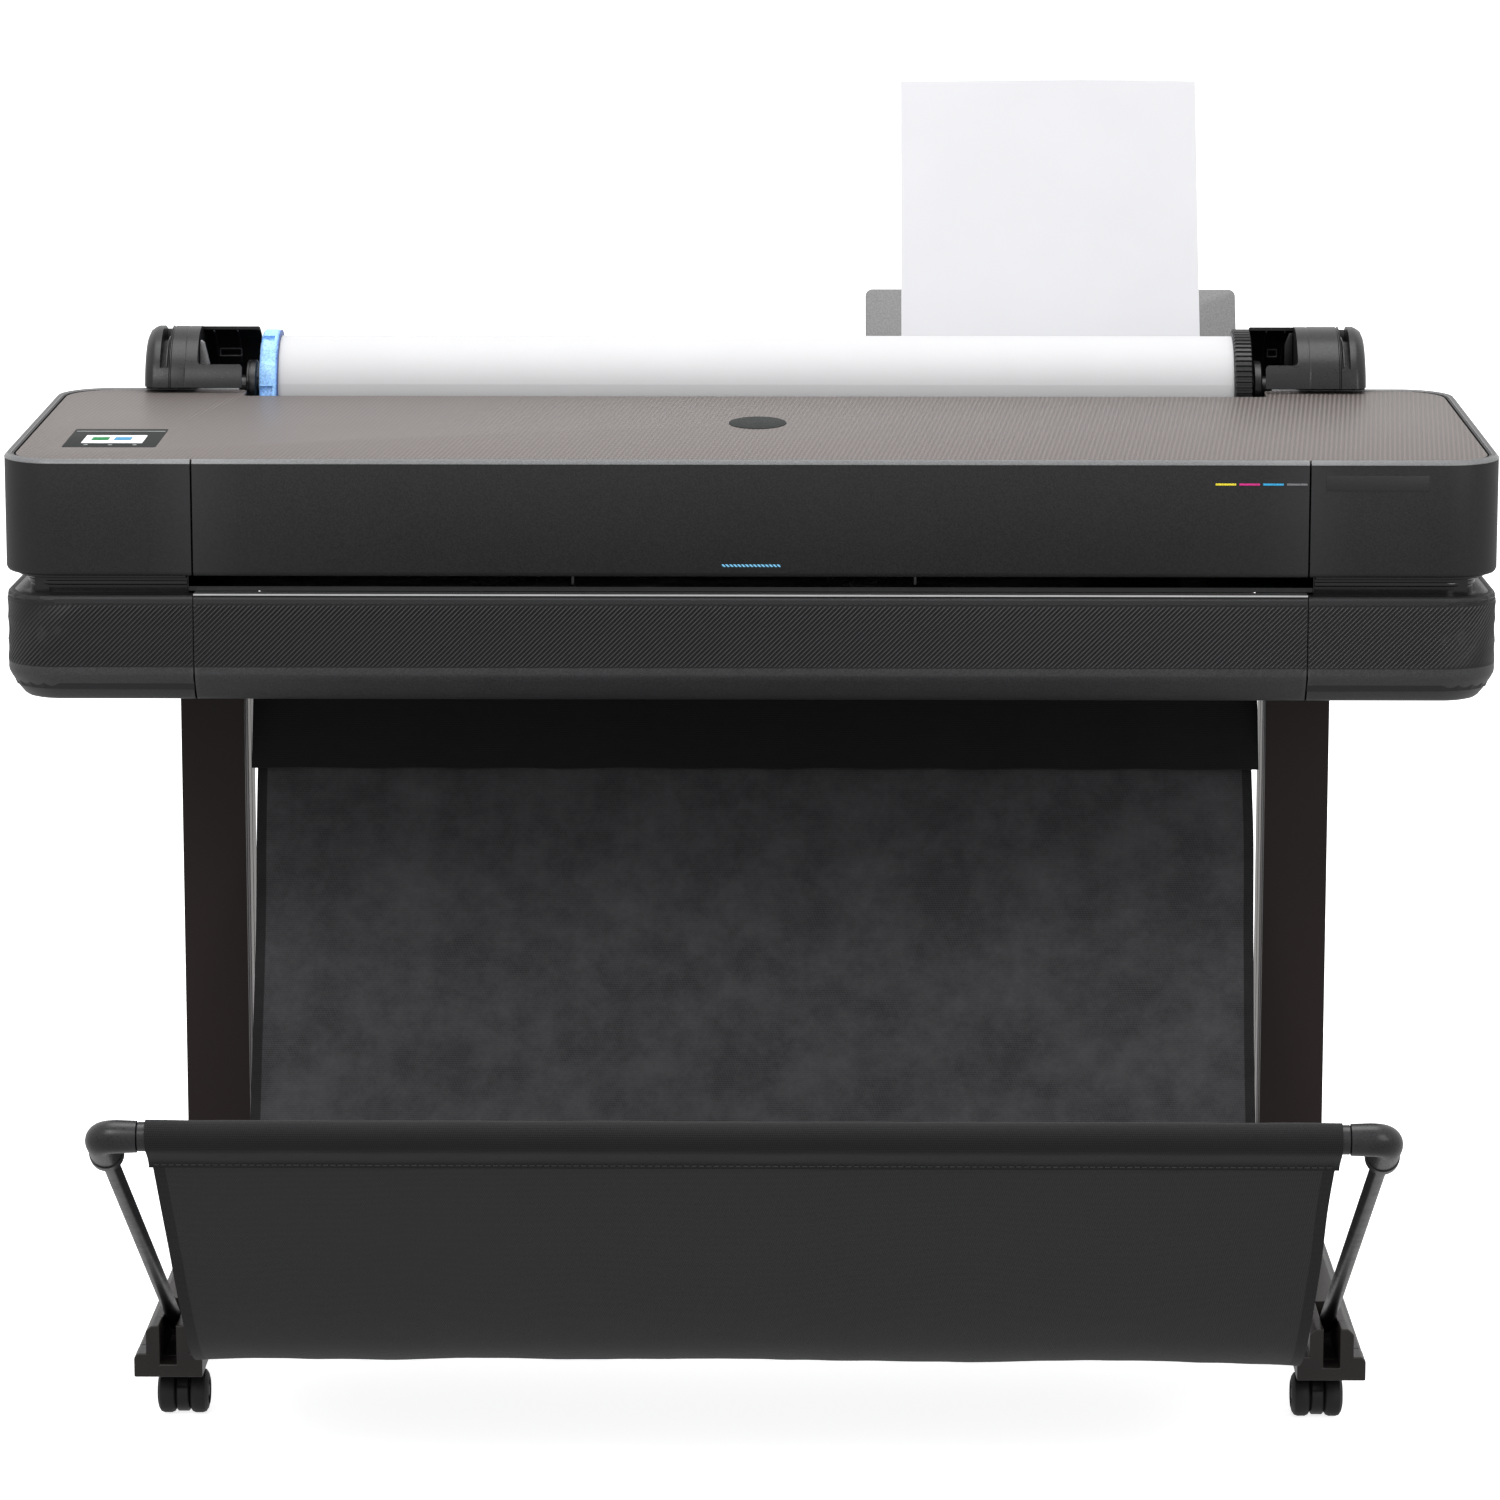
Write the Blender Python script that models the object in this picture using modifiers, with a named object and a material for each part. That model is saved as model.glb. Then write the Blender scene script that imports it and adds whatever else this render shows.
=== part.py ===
"""Large format roll-fed plotter on a wheeled stand with a paper basket.

Metres, +Z up, +X to the operator's right, the operator stands at -Y.
Every place below is measured in the machine's own frame, whose Y = 0 is the
casing's front face and whose Z = 0 is the floor. The "machine" empty shifts
that frame so that the object's bounding box is centred on X = Y = 0.
"""
import math

import bmesh
import bpy
from mathutils import Vector

GAP = 0.0003                    # clearance between pieces that touch

# Casing
HALF_WIDTH = 0.6642             # casing, from the middle to each end
SEAM_X = 0.4935                 # seam between the middle panels and the end covers
SEAM_GAP = 0.0008
CENTRE_Y = 0.1344               # middle of the bounding box, behind the front face
CASE_BOTTOM = 0.6490
LOWER_TOP = 0.7396              # top edge of the lower casing
UPPER_BOTTOM = 0.7575           # bottom edge of the upper casing
LIP_Z = 0.8600                  # top front edge of the upper casing
TOP_SLOPE = 0.0325              # rise of the top per metre of depth
LOWER_DEPTH = 0.6000
WING_DEPTH = 0.4450             # upper end covers, front to back
WALL = 0.0040
CORNER_RADIUS = 0.0500
NECK_INSET = 0.0215             # how far the dark neck stands back from the casing

# Top cover
TOP_THICKNESS = 0.0030
TOP_HALF_WIDTH = 0.6557
TOP_FRONT = 0.0064
TOP_REAR_WING = 0.4400
TOP_REAR_MIDDLE = 0.4000
TOP_NOTCH_X = 0.4850

# Roll and spindle
AXIS_Y = 0.4750
AXIS_Z = 0.8726
ROLL_RADIUS = 0.0500
ROLL_ENDS = (-0.4558, 0.4575)
HUB_BORE = 0.0103
ROD_RADIUS = 0.0100
JOURNAL_RADIUS = 0.0120
COLLAR_RADIUS = 0.0265
DRUM_RADIUS = 0.0595            # spindle holders

# Sheet feeder at the back
REAR_TOP = 0.8000
REAR_DEPTH = 0.6400
TRAY_HINGE = (0.0, 0.6300, 0.8080)
TRAY_LEAN = math.radians(26.4)
TRAY_X = (0.1077, 0.4765)
TRAY_LENGTH = 0.1534
SHEET_X = (0.1435, 0.4405)
SHEET_Z = (-0.0434, 0.3766)     # along the tray, from its hinge

# Stand
STAND_X = 0.5197                # middle of each leg, foot and basket rod
LEG_WIDTH = 0.0606
LEG_Y = (0.3900, 0.4900)
FOOT_Y = (-0.0700, 0.5350)
FOOT_BOTTOM = 0.0435
FOOT_STEP = 0.0653              # top of the wide lower part
FOOT_TOP = 0.0906
FOOT_LOWER_HALF = 0.0302
FOOT_UPPER_HALF = 0.0194
SLOT_HALF = 0.0073              # slot that takes the basket rod
SLOT_BOTTOM = 0.0553
SLOT_REAR = 0.0250
CAP_LENGTH = 0.0300

# Casters
WHEEL_RADIUS = 0.0200
WHEEL_HALF = 0.0230             # half the width over both treads
WHEEL_INNER = 0.0060            # half the space between the treads
AXLE_RADIUS = 0.0040
CASTER_TRAIL = 0.0100
CASTER_X = 0.5100
CASTER_SWIVEL_Y = {"front": -0.0200, "rear": 0.5050}

# Basket
BAR_CENTRE = (0.0, -0.5100, 0.3740)
BAR_RADIUS = 0.0120
BAR_HALF = 0.4895
ELBOW_RADIUS = 0.0138
ELBOW_REACH = 0.0500
ROD_PIVOT = (0.0, 0.0000, 0.0745)
BASKET_ROD_RADIUS = 0.0060
CLOTH_HALF = 0.4800
CLOTH_THICKNESS = 0.0030
BACK_CLOTH = [(0.4590, 0.6455), (0.2720, 0.1980), (0.2300, 0.1400), (0.1700, 0.1080), (0.0900, 0.0930),
              (-0.0200, 0.0880), (-0.1180, 0.0900)]
FRONT_CLOTH = [(-0.1220, 0.0902), (-0.1900, 0.0960), (-0.2530, 0.1140), (-0.3100, 0.1560), (-0.5010, 0.3580)]

# Parts behind the front window
WINDOW_HINGE = (0.0, 0.0030, 0.8575)
WINDOW_BARREL = 0.0028
CARRIAGE_REST_X = 0.3500
RAIL_Y = (0.3300, 0.3500)
RAIL_Z = (0.7900, 0.8225)
PULLEY = (-0.4600, 0.3600, 0.8290)
PULLEY_RADIUS = 0.0100
FEED_ROLLER = (0.0, 0.1750, 0.7610)
CARTRIDGE_FIRST_X = 0.4192
CARTRIDGE_PITCH = 0.0207
SWITCH_PIVOT = (-0.4200, 0.6436, 0.7700)

CHARCOAL = (0.024, 0.024, 0.026)
TAUPE = (0.262, 0.234, 0.223)
LEG_BROWN = (0.020, 0.016, 0.014)
BLACK = (0.010, 0.010, 0.011)
STEEL = (0.45, 0.46, 0.47)


def new_collection(name):
    collection = bpy.data.collections.new(name)
    bpy.context.scene.collection.children.link(collection)
    return collection


def clear_scene():
    for ob in list(bpy.data.objects):
        bpy.data.objects.remove(ob)


clear_scene()
PARTS = new_collection("large_format_plotter")
CUTTERS = new_collection("cutters")


def empty(name, location, rotation=(0, 0, 0), parent=None):
    ob = bpy.data.objects.new(name, None)
    ob.location = location
    ob.rotation_euler = rotation
    ob.parent = parent
    PARTS.objects.link(ob)
    return ob


MACHINE = empty("machine", (0, -CENTRE_Y, 0))


def principled(name, colour, roughness, metallic=0.0):
    mat = bpy.data.materials.new(name)
    mat.use_nodes = True
    shader = mat.node_tree.nodes["Principled BSDF"]
    shader.inputs["Base Color"].default_value = (*colour, 1)
    shader.inputs["Roughness"].default_value = roughness
    shader.inputs["Metallic"].default_value = metallic
    return mat


def finish(ob, look, location, rotation=(0, 0, 0), parent=None):
    """Give an object its place and its own material; a look of None makes it a cutter."""
    ob.location = location
    ob.rotation_euler = rotation
    ob.parent = parent or MACHINE
    if look is None:
        CUTTERS.objects.link(ob)
        ob.hide_render = True
        ob.display_type = "WIRE"
    else:
        PARTS.objects.link(ob)
        ob.data.materials.append(principled(ob.name, *look))
    return ob


def mesh_object(name, bm):
    mesh = bpy.data.meshes.new(name)
    bm.to_mesh(mesh)
    bm.free()
    return bpy.data.objects.new(name, mesh)


def soften(ob, width, segments=2):
    """Round the edges sharper than 40 degrees."""
    bevel = ob.modifiers.new("soft_edges", "BEVEL")
    bevel.width = width
    bevel.segments = segments
    bevel.limit_method = "ANGLE"
    bevel.angle_limit = math.radians(40)
    return ob


def box(name, low, high, look=None, bevel=0.0, rotation=(0, 0, 0), parent=None):
    """A block between two corners, with its origin in its middle."""
    low, high = Vector(low), Vector(high)
    bm = bmesh.new()
    bmesh.ops.create_cube(bm, size=1)
    bmesh.ops.scale(bm, vec=high - low, verts=bm.verts)
    ob = finish(mesh_object(name, bm), look, (low + high) / 2, rotation, parent)
    if bevel:
        soften(ob, bevel)
    return ob


def cylinder_x(name, radius, x_range, centre, look=None, segments=32, parent=None):
    """A round bar along X."""
    bm = bmesh.new()
    bmesh.ops.create_cone(bm, cap_ends=True, segments=segments, radius1=radius, radius2=radius,
                          depth=x_range[1] - x_range[0])
    location = (sum(x_range) / 2, centre[0], centre[1])
    ob = finish(mesh_object(name, bm), look, location, (0, math.pi / 2, 0), parent)
    ob.data.shade_smooth()
    ob.data.set_sharp_from_angle(angle=math.radians(40))
    return ob


def turned(name, profile, look, location, rotation, steps=40, closed=False, parent=None):
    """Turn a profile of (radius, height) points, outer side first from the top down, about Z."""
    bm = bmesh.new()
    verts = [bm.verts.new((radius, 0, height)) for radius, height in profile]
    for first, second in zip(verts, verts[1:]):
        bm.edges.new((first, second))
    if closed:
        bm.edges.new((verts[-1], verts[0]))
    ob = finish(mesh_object(name, bm), look, location, rotation, parent)
    screw = ob.modifiers.new("turn", "SCREW")
    screw.steps = steps
    screw.render_steps = steps
    screw.use_merge_vertices = True
    screw.merge_threshold = 0.00001
    return ob


def ring_x(name, radii, x_range, look, steps=40, chamfer=0.0):
    """A bored disc on the spindle."""
    inner, outer = radii
    half = (x_range[1] - x_range[0]) / 2
    profile = [(outer - chamfer, half), (outer, half - chamfer), (outer, chamfer - half),
               (outer - chamfer, -half), (inner, -half), (inner, half)]
    if not chamfer:
        profile = [(outer, half), (outer, -half), (inner, -half), (inner, half)]
    return turned(name, profile, look, (sum(x_range) / 2, 0, 0), (0, math.pi / 2, 0), steps,
                  closed=True, parent=SPINDLE)


def curve_to_mesh(ob):
    """Swap a curve object for the welded mesh it evaluates to."""
    bpy.context.view_layer.update()
    evaluated = ob.evaluated_get(bpy.context.evaluated_depsgraph_get())
    mesh = bpy.data.meshes.new_from_object(evaluated)
    bm = bmesh.new()
    bm.from_mesh(mesh)
    bmesh.ops.remove_doubles(bm, verts=bm.verts, dist=0.00001)
    bm.to_mesh(mesh)
    bm.free()
    name = ob.name
    matrix = ob.matrix_local.copy()
    bpy.data.curves.remove(ob.data)
    solid = bpy.data.objects.new(name, mesh)
    return solid, matrix


def outline(name, points, half_thickness, look, location, rotation, parent=None):
    """A flat outline, thickened both ways along its own Z."""
    curve = bpy.data.curves.new(name, "CURVE")
    curve.dimensions = "2D"
    curve.fill_mode = "BOTH"
    curve.extrude = half_thickness
    spline = curve.splines.new("POLY")
    spline.points.add(len(points) - 1)
    for point, (x, y) in zip(spline.points, points):
        point.co = (x, y, 0, 1)
    spline.use_cyclic_u = True
    ob = bpy.data.objects.new(name, curve)
    PARTS.objects.link(ob)
    ob.location = location
    ob.rotation_euler = rotation
    solid, matrix = curve_to_mesh(ob)
    return finish(solid, look, matrix.to_translation(), matrix.to_euler(), parent)


def side_outline(name, points, x_range, look=None, parent=None):
    """An outline of (Y, Z) points stretched along X."""
    middle = sum(x_range) / 2
    return outline(name, points, (x_range[1] - x_range[0]) / 2, look, (middle, 0, 0),
                   (math.pi / 2, 0, math.pi / 2), parent)


def front_outline(name, points, y_range, look=None):
    """An outline of (X, Z) points stretched along Y."""
    middle = sum(y_range) / 2
    return outline(name, points, (y_range[1] - y_range[0]) / 2, look, (0, middle, 0), (math.pi / 2, 0, 0))


def tube(name, points, radius, look, parent=None, resolution=3):
    curve = bpy.data.curves.new(name, "CURVE")
    curve.dimensions = "3D"
    curve.bevel_depth = radius
    curve.bevel_resolution = resolution
    curve.use_fill_caps = True
    spline = curve.splines.new("POLY")
    spline.points.add(len(points) - 1)
    for point, place in zip(spline.points, points):
        point.co = (*place, 1)
    return finish(bpy.data.objects.new(name, curve), look, (0, 0, 0), parent=parent)


def boolean(target, operation, pieces):
    for piece in pieces:
        modifier = target.modifiers.new(piece.name, "BOOLEAN")
        modifier.operation = operation
        modifier.object = piece
    return target


def cut(target, *pieces):
    return boolean(target, "DIFFERENCE", pieces)


def fuse(target, *pieces):
    return boolean(target, "UNION", pieces)


def arc(centre, radius, start, end, steps=5):
    """Points on an arc, angles in degrees."""
    angles = [math.radians(start + (end - start) * i / steps) for i in range(steps + 1)]
    return [(centre[0] + radius * math.cos(a), centre[1] + radius * math.sin(a)) for a in angles]


def strip(points, thickness):
    """The outline of a band of even thickness that follows a line of (Y, Z) points."""
    sides = ([], [])
    for i, point in enumerate(points):
        before = Vector(points[max(i - 1, 0)])
        after = Vector(points[min(i + 1, len(points) - 1)])
        along = (after - before).normalized()
        across = Vector((-along.y, along.x)) * thickness / 2
        sides[0].append(tuple(Vector(point) + across))
        sides[1].append(tuple(Vector(point) - across))
    return sides[0] + sides[1][::-1]


def span(side, inner, outer):
    """The X range from inner to outer on one side of the machine."""
    return (inner, outer) if side > 0 else (-outer, -inner)


def top_surface(y):
    return LIP_Z + TOP_SLOPE * y


# ---------------------------------------------------------------- casing

def end_cover(name, side, z_range, depth, rear_radius, bottom_bevel, top_bevel, slope):
    """A corner cover: outer corners rounded in plan, then its top and bottom outer edges bevelled."""
    x_range = span(side, SEAM_X + SEAM_GAP / 2, HALF_WIDTH)
    low = Vector((x_range[0], 0, z_range[0]))
    high = Vector((x_range[1], depth, z_range[1]))
    bm = bmesh.new()
    bmesh.ops.create_cube(bm, size=1)
    bmesh.ops.scale(bm, vec=high - low, verts=bm.verts)
    bmesh.ops.translate(bm, vec=(low + high) / 2, verts=bm.verts)
    for y, radius in ((0, CORNER_RADIUS), (depth, rear_radius)):
        corner = [e for e in bm.edges
                  if all(abs(v.co.x - side * HALF_WIDTH) < 1e-5 and abs(v.co.y - y) < 1e-5 for v in e.verts)]
        bmesh.ops.bevel(bm, geom=corner, offset=radius, segments=5, profile=0.5, affect="EDGES")
    for z, width in ((z_range[0], bottom_bevel), (z_range[1], top_bevel)):
        rim = [e for e in bm.edges
               if all(abs(v.co.z - z) < 1e-5 for v in e.verts)
               and any(abs(v.co.x - side * SEAM_X) > 0.01 for v in e.verts)]
        bmesh.ops.bevel(bm, geom=rim, offset=width, segments=2, profile=0.5, affect="EDGES")
    middle_z = sum(z_range) / 2
    for vert in bm.verts:
        if vert.co.z > middle_z:
            vert.co.z += slope * vert.co.y
    return finish(mesh_object(name, bm), (CHARCOAL, 0.55), (0, 0, 0))


def lower_cover(name, side):
    cover = end_cover(name, side, (CASE_BOTTOM, LOWER_TOP), LOWER_DEPTH, 0.020, 0.021, 0.003, 0)
    inner = span(side, SEAM_X - 0.02, HALF_WIDTH - WALL)
    neck = span(side, SEAM_X - 0.03, HALF_WIDTH - NECK_INSET - 0.006)
    pocket = box(name + "_pocket", (inner[0], WALL, CASE_BOTTOM + WALL), (inner[1], LOWER_DEPTH - WALL, 0.7320))
    mouth = box(name + "_mouth", (neck[0], NECK_INSET, 0.7200), (neck[1], WING_DEPTH, 0.7500))
    return cut(cut(cover, chamfer_pocket(pocket, side, 0.030)), mouth)


def chamfer_pocket(pocket, side, chamfer):
    """Bevel a pocket's outer lower edges, so that the wall behind the casing's bevel stays whole."""
    bm = bmesh.new()
    bm.from_mesh(pocket.data)
    lower_edges = [e for e in bm.edges
                   if all(v.co.z < 0 for v in e.verts) and any(v.co.x * side > 0 for v in e.verts)]
    bmesh.ops.bevel(bm, geom=lower_edges, offset=chamfer, segments=1, affect="EDGES")
    bm.to_mesh(pocket.data)
    bm.free()
    return pocket


def top_outline(grow=0.0):
    """Half of the top cover's outline, from its front middle round to its rear middle, and its mirror."""
    x = TOP_HALF_WIDTH + grow
    front = TOP_FRONT - grow
    rear = TOP_REAR_WING + grow
    notch = TOP_NOTCH_X - grow
    half = []
    half += arc((x - 0.042, front + 0.042), 0.042, -90, 0)
    half += arc((x - 0.045, rear - 0.045), 0.045, 0, 90)
    half += [(notch, rear), (notch, TOP_REAR_MIDDLE + grow)]
    return half + [(-px, py) for px, py in reversed(half)]


def top_plate(name, grow, low, high, look=None):
    """The top cover's outline as a slab between two depths under the sloping top surface."""
    tilt = math.atan(TOP_SLOPE)
    middle = (low + high) / 2
    return outline(name, top_outline(grow), (high - low) / 2, look, (0, 0, LIP_Z + middle), (tilt, 0, 0))


def upper_cover(name, side):
    cover = end_cover(name, side, (UPPER_BOTTOM, LIP_Z), WING_DEPTH, 0.050, 0.004, 0.003, TOP_SLOPE)
    inner = span(side, SEAM_X - 0.02, HALF_WIDTH - 0.009)
    neck = span(side, SEAM_X - 0.03, HALF_WIDTH - NECK_INSET - 0.006)
    pocket = box(name + "_pocket", (inner[0], 0.009, UPPER_BOTTOM + 0.006), (inner[1], WING_DEPTH - 0.009, 0.8515))
    mouth = box(name + "_mouth", (neck[0], NECK_INSET, 0.7500), (neck[1], WING_DEPTH - 0.012, 0.7700))
    recess = top_plate(name + "_recess", 0.0004, -TOP_THICKNESS - 0.0004, 0.0100)
    return cut(cover, pocket, mouth, recess)


def casing():
    for side, word in ((-1, "left"), (1, "right")):
        lower_cover("lower_cover_" + word, side)
        upper_cover("upper_cover_" + word, side)
        side_frame("side_frame_" + word, side)
    middle = (-SEAM_X + SEAM_GAP / 2, SEAM_X - SEAM_GAP / 2)
    front = [(0.0180, LOWER_TOP), (0.0030, LOWER_TOP), (0, LOWER_TOP - 0.003), (0, 0.6710), (0.0060, 0.6590),
             (0.0210, CASE_BOTTOM), (0.0600, CASE_BOTTOM), (0.0600, CASE_BOTTOM + 0.003),
             (0.0225, CASE_BOTTOM + 0.003), (0.0088, 0.6610), (0.0040, 0.6720), (0.0040, LOWER_TOP - 0.004),
             (0.0180, LOWER_TOP - 0.004)]
    side_outline("lower_front_panel", front, middle, (CHARCOAL, 0.55))
    box("exit_lip", (middle[0], 0.0010, LOWER_TOP + GAP), (middle[1], 0.0170, LOWER_TOP + 0.0018),
        ((0.30, 0.30, 0.31), 0.35))
    cover = top_plate("top_cover", 0.0, -TOP_THICKNESS, 0.0, (TAUPE, 0.6))
    hole = display_tile("display_hole", 0.0004, -0.02, 0.02)
    cut(cover, hole)


def side_frame(name, side):
    """The hollow end frame, which carries the rail and shows as the dark neck between the casings."""
    outer = span(side, SEAM_X + 0.0060, HALF_WIDTH - NECK_INSET - 0.0065)
    hollow = span(side, SEAM_X - 0.0100, HALF_WIDTH - NECK_INSET - 0.0100)
    frame = box(name, (outer[0], NECK_INSET + 0.0005, 0.7005), (outer[1], 0.4300, 0.8450), (BLACK, 0.2))
    pocket = box(name + "_hollow", (hollow[0], 0.0260, 0.7040), (hollow[1], 0.4260, 0.8410))
    return cut(frame, pocket)


def chassis():
    """Base pan: a floor with upstands at the front and the back."""
    x_range = (-SEAM_X + 0.0010, SEAM_X - 0.0010)
    low = CASE_BOTTOM + 0.0015
    pan = [(0.0605, low), (0.6000, low), (0.6000, LOWER_TOP), (0.5980, LOWER_TOP), (0.5980, low + 0.0020),
           (0.0625, low + 0.0020), (0.0625, 0.7300), (0.0605, 0.7300)]
    side_outline("chassis", pan, x_range, (STEEL, 0.4, 1.0))
    box("electronics_box", (-0.4400, 0.4000, 0.6535), (-0.1400, 0.5600, 0.7000), (STEEL, 0.35, 1.0), 0.002)
    rear = [(0.4465, LOWER_TOP + GAP), (0.4465, REAR_TOP - 0.003), (0.4495, REAR_TOP), (REAR_DEPTH - 0.003, REAR_TOP),
            (REAR_DEPTH, REAR_TOP - 0.003), (REAR_DEPTH, 0.7480), (0.6320, LOWER_TOP + GAP), (0.6280, LOWER_TOP + GAP),
            (0.6360, 0.7490), (0.6360, REAR_TOP - WALL), (0.4505, REAR_TOP - WALL), (0.4505, LOWER_TOP + GAP)]
    cover = side_outline("rear_cover", rear, (-0.6000, 0.6000), (CHARCOAL, 0.6))
    lugs = [box("tray_lug_" + word, (x, 0.6240, 0.7980), (x + 0.0080, 0.6360, 0.8130))
            for word, x in (("left", 0.0965), ("right", 0.4810))]
    throat = box("throat", (0.1225, 0.6000, 0.7900), (0.4625, 0.6335, 0.8100))
    cut(fuse(cover, *lugs), throat)
    box("rear_bulkhead", (-0.4840, 0.4040, LOWER_TOP + GAP), (0.4840, 0.4070, 0.8650), (BLACK, 0.5))


def display_tile(name, grow, low, high, look=None):
    """A tile on the sloping top, at the operator's left."""
    return tile(name, (-0.6176 - grow, -0.5335 + grow), (0.0780 - grow, 0.1860 + grow), low, high, look)


def tile(name, x_range, y_range, low, high, look=None):
    tilt = math.atan(TOP_SLOPE)
    bm = bmesh.new()
    bmesh.ops.create_cube(bm, size=1)
    size = (x_range[1] - x_range[0], y_range[1] - y_range[0], high - low)
    bmesh.ops.scale(bm, vec=size, verts=bm.verts)
    y = sum(y_range) / 2
    location = (sum(x_range) / 2, y, top_surface(y) + (low + high) / 2)
    return finish(mesh_object(name, bm), look, location, (tilt, 0, 0))


def display():
    bezel = display_tile("display_bezel", 0, -0.0030, 0.0016, ((0.068, 0.070, 0.070), 0.4))
    pocket = tile("display_pocket", (-0.6035, -0.5475), (0.1015, 0.1505), 0.0006, 0.0100)
    cut(bezel, pocket)
    tile("display_glass", (-0.6030, -0.5480), (0.1020, 0.1500), 0.0009, 0.0018, ((0.80, 0.82, 0.84), 0.1))


# ------------------------------------------------------- print mechanism

def front_window():
    """The panel between the seams, with a rounded top edge about its hinge."""
    hinge = empty("front_window_hinge", WINDOW_HINGE, parent=MACHINE)
    back = 0.0035 - WINDOW_HINGE[1]
    front = -WINDOW_HINGE[1]
    bottom = UPPER_BOTTOM - WINDOW_HINGE[2]
    barrel = arc((0, 0), WINDOW_BARREL, -10, 190, 8)
    panel = barrel + [(front, -0.004), (front, bottom + 0.004), (front + 0.004, bottom), (back + 0.0085, bottom),
                      (back + 0.0085, bottom + 0.003), (back, bottom + 0.004), (back, -0.0030)]
    x_range = (-SEAM_X + SEAM_GAP, SEAM_X - SEAM_GAP)
    side_outline("front_window", panel, x_range, (CHARCOAL, 0.5), hinge)


def mechanism():
    box("platen", (-0.4985, 0.0175, LOWER_TOP + 0.0022), (0.4985, 0.4000, LOWER_TOP + 0.0062), (BLACK, 0.15))
    box("carriage_rail", (-0.4985, RAIL_Y[0], RAIL_Z[0]), (0.4985, RAIL_Y[1], RAIL_Z[1]), (STEEL, 0.25, 1.0), 0.002)
    carriage = empty("carriage_slide", (CARRIAGE_REST_X, 0.2600, 0.8000), parent=MACHINE)
    box("carriage", (-0.0450, -0.0600, -0.0350), (0.0450, RAIL_Y[0] - 0.2600 - 0.0005, 0.0450), (BLACK, 0.4),
        0.004, parent=carriage)
    turned("drive_pulley", [(0, 0.005), (PULLEY_RADIUS, 0.005), (PULLEY_RADIUS, -0.005), (0, -0.005)],
           (STEEL, 0.3, 1.0), PULLEY, (0, 0, 0), 24, parent=MACHINE)
    shaft = [(0, 0.4985), (0.0050, 0.4985), (0.0050, 0.4800), (0.0120, 0.4800), (0.0120, -0.4800),
             (0.0050, -0.4800), (0.0050, -0.4985), (0, -0.4985)]
    turned("feed_roller", shaft, ((0.05, 0.05, 0.05), 0.7), FEED_ROLLER, (0, math.pi / 2, 0), 24)
    inks = {"yellow": (0.75, 0.62, 0.02), "magenta": (0.70, 0.02, 0.25), "cyan": (0.02, 0.42, 0.70),
            "black": (0.15, 0.15, 0.16)}
    for number, (word, colour) in enumerate(inks.items()):
        x = CARTRIDGE_FIRST_X + number * CARTRIDGE_PITCH
        box("ink_cartridge_" + word, (x - 0.0090, 0.0300, 0.7660), (x + 0.0090, 0.1400, 0.8350), (colour, 0.4), 0.002)


# ------------------------------------------------------ roll and spindle

def spindle():
    rod = [(0, 0.5155), (JOURNAL_RADIUS, 0.5155), (JOURNAL_RADIUS, 0.4860), (COLLAR_RADIUS, 0.4860),
           (COLLAR_RADIUS, 0.4777), (ROD_RADIUS, 0.4777), (ROD_RADIUS, -0.4790), (COLLAR_RADIUS, -0.4790),
           (COLLAR_RADIUS, -0.4890), (JOURNAL_RADIUS, -0.4890), (JOURNAL_RADIUS, -0.5305), (0, -0.5305)]
    turned("spindle_rod", rod, (BLACK, 0.35), (0, 0, 0), (0, math.pi / 2, 0), 40, parent=SPINDLE)
    ring_x("roll_hub_blue", (HUB_BORE, 0.0563), (-0.4734, -0.4562), ((0.27, 0.51, 0.87), 0.3), 32, 0.0030)
    ring_x("roll_hub_gear", (HUB_BORE, 0.0568), (0.4578, 0.4745), (BLACK, 0.35), 48, 0.0015)
    ring_x("paper_roll", (HUB_BORE, ROLL_RADIUS), ROLL_ENDS, ((0.88, 0.88, 0.89), 0.7), 48)


def spindle_holder(word, side, outer_x, inner_x, cradle_x):
    """A drum on a pedestal, with a cradle that is open on top for the spindle's journal."""
    x_range = span(side, inner_x, outer_x)
    drum = cylinder_x("spindle_holder_" + word, DRUM_RADIUS, x_range, (AXIS_Y, AXIS_Z), (BLACK, 0.3), 40)
    pedestal = box("pedestal_" + word, (x_range[0], 0.4458, REAR_TOP + GAP), (x_range[1], 0.5250, AXIS_Z))
    ledge = box("wing_clearance_" + word, (x_range[0] - 0.01, 0.4000, 0.8000),
                (x_range[1] + 0.01, 0.4458, top_surface(0.4458) + 0.0010))
    underside = box("deck_clearance_" + word, (x_range[0] - 0.01, 0.4000, 0.7800),
                    (x_range[1] + 0.01, 0.5500, REAR_TOP + GAP))
    cradle = span(side, inner_x - 0.01, cradle_x)
    seat = box("seat_" + word, (cradle[0], AXIS_Y - 0.0270, AXIS_Z - JOURNAL_RADIUS - GAP),
               (cradle[1], AXIS_Y + 0.0350, AXIS_Z + 0.0800))
    rim = box("rim_" + word, (cradle[0], 0.4000, 0.9000), (cradle[1], AXIS_Y, AXIS_Z + 0.0800))
    cut(fuse(drum, pedestal), ledge, underside, seat, rim)


# --------------------------------------------------------- sheet feeder

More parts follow.
